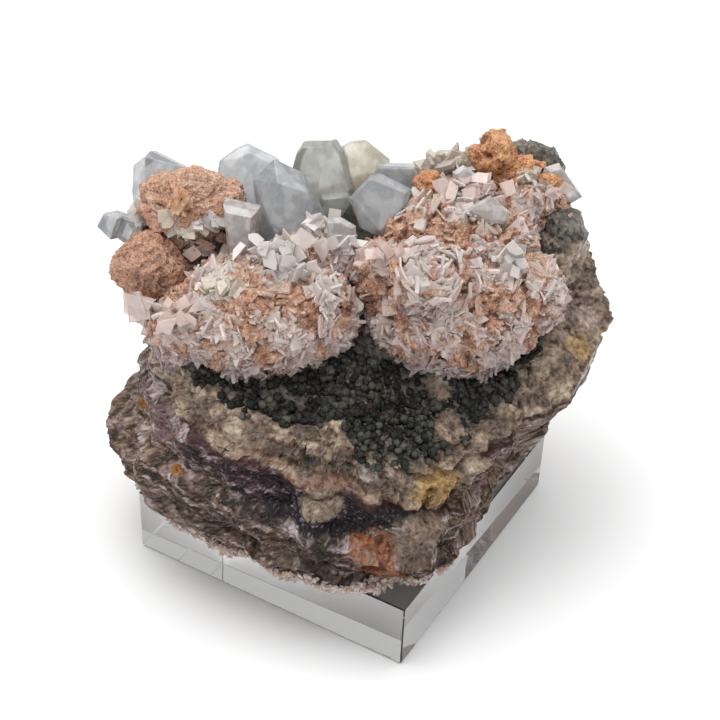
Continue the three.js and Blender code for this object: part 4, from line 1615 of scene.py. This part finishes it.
@dataclass
class GlassyCrystals:
    """The large crystals, by finish: blue-grey, green-grey, cream, and milky plates."""

    blue_grey: tuple[CrystalGroup, ...] = (
        CrystalGroup("baryte_crystal_left_tall", (
            Crystal((-47.5, 22, 65),
                    ((-7.2, -1), (-7.4, 5.2), (-3.4, 9.2), (4.9, 6.4), (6, 0.8), (5.6, -11), (-5, -12)),
                    9, ((-3.6, 8), (-2.6, -11.5)), 25, -10, (-0.25, 0.5)),
        )),
        CrystalGroup("baryte_crystal_left_cubes", (
            Crystal((-58, 12, 60.5), ((-2.9, -0.6), (-1.5, 3.3), (2.8, 3.2), (1.6, -2.6)),
                    6, (), 20, -30, (-0.9, 0.9), 0.92),
            Crystal((-54.5, 12, 60), ((-2.6, -2), (-1.6, 3.2), (4.5, 2.6), (5, -5)),
                    5, (), 20, -20, (-0.9, 0.9), 0.92),
        )),
        CrystalGroup("baryte_crystal_centre", (
            Crystal((-25.5, 22.5, 66),
                    ((-8.6, 3.5), (-7.9, 7.2), (-3.9, 10), (-1, 11.2), (6.4, 7.4), (7.4, 0), (6, -11),
                     (-5.5, -11)),
                    10, ((-7, 3), (-3.2, 8), (-0.8, 9.2), (5.4, 6), (4.4, -10), (-4.8, -10)),
                    25, 6, (-0.7, 0.6)),
            Crystal((-15.5, 13.5, 67),
                    ((-9, 6.6), (-3.8, 11.4), (2.9, 7.9), (5.8, 2.6), (7.8, -2.4), (6.9, -6.2), (0, -12),
                     (-7.7, -9)),
                    12, ((-3.4, 5.6), (3.4, 3.2), (4.6, -2.6), (0.6, -8.4), (-5.6, -3.6)),
                    32, 8, (-0.25, 0.5)),
        )),
        CrystalGroup("baryte_crystal_back", (
            Crystal((10, 25, 67.5), ((-6.3, 2.8), (-5.4, 4.8), (3.3, 4.9), (4.4, 2.5), (4, -14), (-3, -14)),
                    7, (), 20, 0, (-0.85, 0.7), 0.94),
        )),
        CrystalGroup("baryte_crystal_rhomb", (
            Crystal((5.6, 12.5, 68),
                    ((-7.5, 1.7), (-3.1, 7.5), (-0.8, 8.2), (6.9, 5.2), (6.4, 0.9), (1.5, -7), (-4.2, -5)),
                    10, ((-6.6, 1.4), (-2.8, 6.4), (5.8, 4), (5.2, 0.4), (0.8, -5.4)), 35, -6, (-0.6, 0.5)),
        )),
    )
    green_grey: tuple[CrystalGroup, ...] = (
        CrystalGroup("baryte_crystal_tall", (
            Crystal((-8.4, 25.5, 68.5),
                    ((-7.6, 1.6), (-7.1, 5.2), (-5.7, 7.9), (1.1, 9.3), (3.3, 7), (7.4, -1.5), (6, -15),
                     (-5, -15)),
                    9, ((-6.8, 1), (-6.4, 4.4), (-5.2, 6.6), (0.4, 8), (0.6, -14.4), (-4.6, -14.4)),
                    22, -18, (-0.5, 0.5)),
            Crystal((-5, 18.5, 64.5), ((-3.7, 2.5), (2.5, 3.5), (4.2, 1.5), (0.2, -4), (-3.7, -4)),
                    6, (), 20),
        )),
    )
    cream: tuple[CrystalGroup, ...] = (
        CrystalGroup("baryte_crystal_cream", (
            Crystal((1.5, 31, 68),
                    ((-6.2, 4.5), (-5.2, 5.9), (-3, 6.9), (0.5, 7), (2.4, 5.1), (6.1, 2), (6, -3),
                     (4.2, -15), (-4, -15)),
                    7, ((-4.8, 3), (-1.4, 3.8), (3.6, 1.4), (2.8, -14), (-3, -14)), 25, 12, (-0.3, 0.5)),
        )),
    )
    kept: tuple[str, ...] = (
        "baryte_crystal_blocky", "baryte_crystal_milky", "baryte_plate_top",
        "baryte_plate_right", "baryte_plate_upright", "baryte_plate_far_right",
    )

    def build(self) -> None:
        """Makes and dresses each crystal."""
        glassy = (
            ("baryte_crystal_blue_grey", (0.49, 0.51, 0.535), (0.75, 0.755, 0.76), self.blue_grey),
            ("baryte_crystal_green_grey", (0.48, 0.49, 0.45), (0.71, 0.715, 0.665), self.green_grey),
            ("baryte_crystal_cream", (0.72, 0.66, 0.52), (0.94, 0.91, 0.80), self.cream),
        )
        for slot, clear, cloudy, groups in glassy:
            material = CrystalFinish(slot, clear, cloudy).build()
            for group in groups:
                group.build(slot, material)
        milky = CrystalFinish(
            "baryte_crystal_milky", (0.56, 0.51, 0.49), (0.86, 0.82, 0.80), 0.5, 0.1, 2.5
        ).build()
        for name in self.kept:
            dress(name, milky)


def dress(name: str, material: bpy.types.Material) -> None:
    """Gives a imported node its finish."""
    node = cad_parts[name]
    node.data.materials.clear()
    node.data.materials.append(material)
    log.info("%s: dressed in %s", name, material.name)


@dataclass
class Studio:
    """Pale floor, soft lamps and the camera, in the row's frame."""

    floor_half: float = 3.0
    floor_drop: float = 0.0003
    world_light: float = 0.68
    lamps: tuple[tuple[str, tuple[float, float, float], float, float], ...] = (
        ("top_softbox", (-0.05, 0.1, 1.4), 1.6, 12.5),
        ("key_softbox", (-0.25, -0.1, 0.8), 0.5, 1.8),
    )
    camera_at: tuple[float, float, float] = (0.1531, -0.2705, 0.2865)
    azimuth: float = math.radians(29.12)
    pitch: float = math.radians(37.18)
    roll: float = math.radians(2.30)
    lens: float = 80.0
    sensor: float = 36.0

    def floor(self) -> None:
        """A wide pale plane under the block."""
        size, low = self.floor_half, -self.floor_drop
        mesh = bpy.data.meshes.new("studio_floor")
        corners = [(-size, -size, low), (size, -size, low), (size, size, low), (-size, size, low)]
        mesh.from_pydata(corners, [], [(0, 1, 2, 3)])
        bench = Bench("studio_floor")
        shade = bench.blend(bench.noise(400.0, 2), (0.93, 0.93, 0.93), (0.96, 0.96, 0.96))
        mesh.materials.append(bench.finish(bench.principled({"Base Color": shade, "Roughness": 0.9})))
        piece = bpy.data.objects.new("studio_floor", mesh)
        bpy.context.scene.collection.objects.link(piece)
        piece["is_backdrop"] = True

    def lamp(self, name: str, at: Sequence[float], size: float, power: float) -> None:
        """A square soft lamp that looks at the specimen."""
        light = bpy.data.lights.new(name, "AREA")
        light.shape = "SQUARE"
        light.size = size
        light.energy = power
        lamp = bpy.data.objects.new(name, light)
        aim = Vector((0, 0, 0.05)) - Vector(at)
        lamp.matrix_world = Matrix.Translation(at) @ aim.to_track_quat("-Z", "Y").to_matrix().to_4x4()
        bpy.context.scene.collection.objects.link(lamp)

    def world(self) -> None:
        """Even white light from all round."""
        world = bpy.data.worlds.new("studio_world")
        world.use_nodes = True
        background = world.node_tree.nodes["Background"]
        background.inputs["Color"].default_value = (1, 1, 1, 1)
        background.inputs["Strength"].default_value = self.world_light
        bpy.context.scene.world = world

    def camera(self) -> None:
        """The camera at the photograph's place, turned down and a little rolled."""
        forward = Vector((
            -math.sin(self.azimuth) * math.cos(self.pitch),
            math.cos(self.azimuth) * math.cos(self.pitch),
            -math.sin(self.pitch),
        ))
        level = Vector((math.cos(self.azimuth), math.sin(self.azimuth), 0))
        upright = level.cross(forward)
        right = math.cos(self.roll) * level + math.sin(self.roll) * upright
        up = math.cos(self.roll) * upright - math.sin(self.roll) * level
        turn = Matrix((right, up, -forward)).transposed().to_4x4()
        data = bpy.data.cameras.new("photo_camera")
        data.lens = self.lens
        data.sensor_width = self.sensor
        data.clip_start = 0.01
        data.clip_end = 20
        camera = bpy.data.objects.new("photo_camera", data)
        camera.matrix_world = Matrix.Translation(self.camera_at) @ turn
        bpy.context.scene.collection.objects.link(camera)
        bpy.context.scene.camera = camera

    def build(self) -> None:
        """Sets the stage, with display colours that keep white paper white."""
        bpy.context.scene.view_settings.view_transform = "Standard"
        self.floor()
        self.world()
        for name, at, size, power in self.lamps:
            self.lamp(name, at, size, power)
        self.camera()


LEFT_ROSETTE = (
    Lump((-21.5, -6, 49), (22, 16, 15)),
    Lump((-38, -5, 44), (11, 11, 11)),
    Lump((-8, -8, 51), (9.5, 10, 12)),
    Lump((-11, 3, 59), (10, 8, 8)),
)
RIGHT_ROSETTE = (
    Lump((23.8, -3.6, 51.5), (21.6, 16.6, 16.2)),
    Lump((24, 8, 63), (19, 14, 12)),
    Lump((17, -12, 64), (9, 8, 9)),
    Lump((41, -2, 55), (9, 10, 10)),
    Lump((8, -1, 57.5), (9.5, 10, 10.5)),
    Lump((43, 19, 66), (8, 7, 7)),
)
RUST_BALLS = (
    RustBall("rust_ball_upper", "rust_ball_upper_left", (Lump((-39.5, 14, 67.6), (13, 9, 7.3)),), 401),
    RustBall("rust_ball_lower", "rust_ball_left", (Lump((-48.5, 3, 55), (9, 9, 9)),), 421, Tone.RUST_ROSE),
    RustBall("rust_ball_small", "rust_ball_top", (Lump((16.5, 16, 73.6), (3.7, 3, 2.8)),), 431,
             Tone.RUST_AMBER, Tone.RUST_DEEP, 0.8, 1.0),
    RustBall("rust_crust", "rust_crust_back", (
        Lump((32.5, 29, 74), (5.6, 5.2, 6.2)),
        Lump((40.5, 26, 71), (5.4, 4, 4.4)),
        Lump((45, 21.5, 70), (4.4, 4, 4)),
        Lump((36, 24, 69.5), (4, 3.4, 3.6)),
    ), 441, Tone.RUST_AMBER, Tone.RUST_DEEP, 1.3, 2.2),
)
PLATE_SPRAYS = (
    PlateSprays("plates_upper_left", "rust_ball_upper_left", (
        Spray((-41.0, 6.4, 70.8), (2.2, 1, 3.4), 20, (0.6, 1.2), (3, 5.4), (0.4, 0.8),
              (-0.6, -0.7, 0.3), 0.3, Tone.RUST_AMBER, 0.1),
        Spray((-43.4, 6.0, 67.6), (1.5, 1, 2), 9, (0.9, 1.7), (2.4, 4), (0.3, 0.6),
              (-0.3, -0.7, 0.6), 0.3, Tone.CREAM, 0.15),
        Spray((-39.8, 5.2, 65.4), (3.5, 1, 1.2), 14, (0.9, 1.8), (2.4, 4.4), (0.3, 0.6),
              (0.1, -0.6, 0.8), 0.3, Tone.CREAM, 0.15),
        Spray((-34.4, 6.4, 66.8), (3.5, 1, 1.6), 14, (0.9, 1.8), (2.4, 4.4), (0.3, 0.6),
              (0.3, -0.6, 0.7), 0.3, Tone.BLADE_PALE, 0.1),
        Spray((-46.4, 7.2, 65.4), (1.6, 1, 3), 9, (1.2, 2.0), (3.5, 6), (0.4, 0.8),
              (-0.5, -0.8, 0.4), 0.25, Tone.RUST_DEEP, 0.1),
        Spray((-51.2, 12.5, 62.5), (3.5, 2, 3.5), 24, (0.9, 2.0), (1.8, 4), (0.4, 0.9),
              (-0.3, -0.7, 0.5), 0.5, Tone.BLADE_PALE),
        Spray((-38.5, 9.0, 60.8), (9, 2.5, 2.2), 46, (0.8, 2.0), (2, 4), (0.3, 0.7),
              (0.0, -0.7, 0.7), 0.5, Tone.RUST_TAN, 0.45),
        Spray((-36.5, 7.0, 58.4), (8, 2, 1.6), 26, (0.8, 1.7), (2, 4), (0.3, 0.7),
              (0.0, -0.6, 0.8), 0.5, Tone.BLADE_PINK, 0.1),
    ), 501),
    PlateSprays("plates_left", "baryte_rosette_left", (
        Spray((-17.2, -5.8, 66.8), (6, 3.5, 3), 40, (0.9, 2.0), (2.3, 4.8), (0.3, 0.7),
              (-0.2, -0.8, 0.5), 0.5, Tone.BLADE_PALE),
        Spray((-13.0, -8.5, 62.5), (4.5, 2.5, 4), 32, (0.9, 1.9), (2.3, 4.4), (0.3, 0.7),
              (0.3, -0.8, 0.4), 0.5, Tone.BLADE_PALE),
        Spray((-8.2, 4.6, 67.6), (4, 2, 3), 22, (0.8, 1.9), (2.2, 4.2), (0.4, 0.9),
              (0.2, -0.8, 0.5), 0.5, Tone.BLADE_PALE),
        Spray((-23.5, 0.5, 62.6), (4, 2, 2), 22, (0.8, 1.8), (2.2, 4.2), (0.4, 0.8),
              (0.0, -0.7, 0.6), 0.5, Tone.BLADE_PINK),
        Spray((-28.0, -12.5, 60.5), (4, 2, 2), 19, (0.8, 2.0), (2.3, 4.8), (0.3, 0.7),
              (0.0, -0.7, 0.7), 0.5, Tone.CREAM, 0.3),
        Spray((-36.5, -14.5, 52.5), (6, 3, 5), 40, (0.8, 1.9), (2.0, 4.4), (0.3, 0.7),
              (-0.4, -0.8, 0.4), 0.5, Tone.BLADE_PINK),
        Spray((-50.4, -5.0, 48.0), (1.6, 1, 2.4), 6, (2.2, 3.2), (5, 8), (0.7, 1.1),
              (-0.6, -0.7, 0.3), 0.15, Tone.BLADE_PINK),
    ), 531),
    PlateSprays("plates_right", "baryte_rosette_right", (
        Spray((26.0, 11.0, 75.0), (7, 4, 2.4), 46, (0.8, 1.9), (2.2, 4.8), (0.3, 0.7),
              (0.2, -0.7, 0.7), 0.5, Tone.BLADE_PINK),
        Spray((35.6, -5.5, 65.5), (4, 2, 4.5), 27, (0.8, 1.8), (2.2, 4.4), (0.4, 0.9),
              (0.4, -0.8, 0.4), 0.4, Tone.BLADE_PALE),
        Spray((6.5, -6.5, 66.0), (5, 3, 3), 32, (0.7, 1.6), (2.0, 4.0), (0.3, 0.7),
              (-0.1, -0.7, 0.7), 0.5, Tone.BLADE_PINK, 0.25),
        Spray((44.0, 17.5, 70.5), (4, 3, 3), 30, (0.7, 1.6), (1.8, 3.8), (0.4, 0.9),
              (0.3, -0.8, 0.5), 0.5, Tone.PINK_WHITE, 0.2),
        Spray((40.5, 20.5, 74.0), (3, 2, 1.4), 22, (0.4, 1.1), (1.3, 2.7), (0.4, 0.9),
              (0.2, -0.7, 0.7), 0.6, Tone.CREAM, 0.2),
        Spray((-2.5, 1.5, 64.5), (3, 2, 3), 22, (0.8, 1.6), (2.0, 3.8), (0.4, 0.9),
              (0.1, -0.8, 0.5), 0.5, Tone.BLADE_PALE),
    ), 561),
    PlateSprays("plates_back", "fluorite_matrix", (
        Spray((23.5, 38.5, 66.0), (9, 4, 3), 30, (1.3, 2.6), (3, 5.4), (1.2, 2.2),
              (0.0, -0.6, 0.7), 0.5, Tone.CREAM),
    ), 591),
)


def main() -> None:
    """Builds the stage, the rock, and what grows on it."""
    logging.basicConfig(level=logging.INFO, format="%(name)s %(message)s")
    Studio().build()
    dress("display_block", AcrylicFinish().build())
    rock_finish = RockFinish().build()
    rock = FluoriteRock()
    rock.build(rock_finish)
    BoulderGroup().build(rock_finish)
    DarkDruse(rock).build(SpheruleFinish().build())
    rust = RustFinish().build()
    blade = BladeFinish().build()
    BaryteRosette("rosette_left", "baryte_rosette_left", LEFT_ROSETTE, 5).build(blade)
    BaryteRosette("rosette_right", "baryte_rosette_right", RIGHT_ROSETTE, 8).build(blade)
    for ball in RUST_BALLS:
        ball.build(rust)
    OpenRose("open_rose", "baryte_rosette_right", (17.5, -15.5, 71.5), (0.1, -0.55, 0.85), 51).build(blade)
    for sprays in PLATE_SPRAYS:
        sprays.build("baryte_rosette", blade)
    CrystalFringe(rock).build(blade)
    GlassyCrystals().build()


if __name__ == "__main__":
    main()
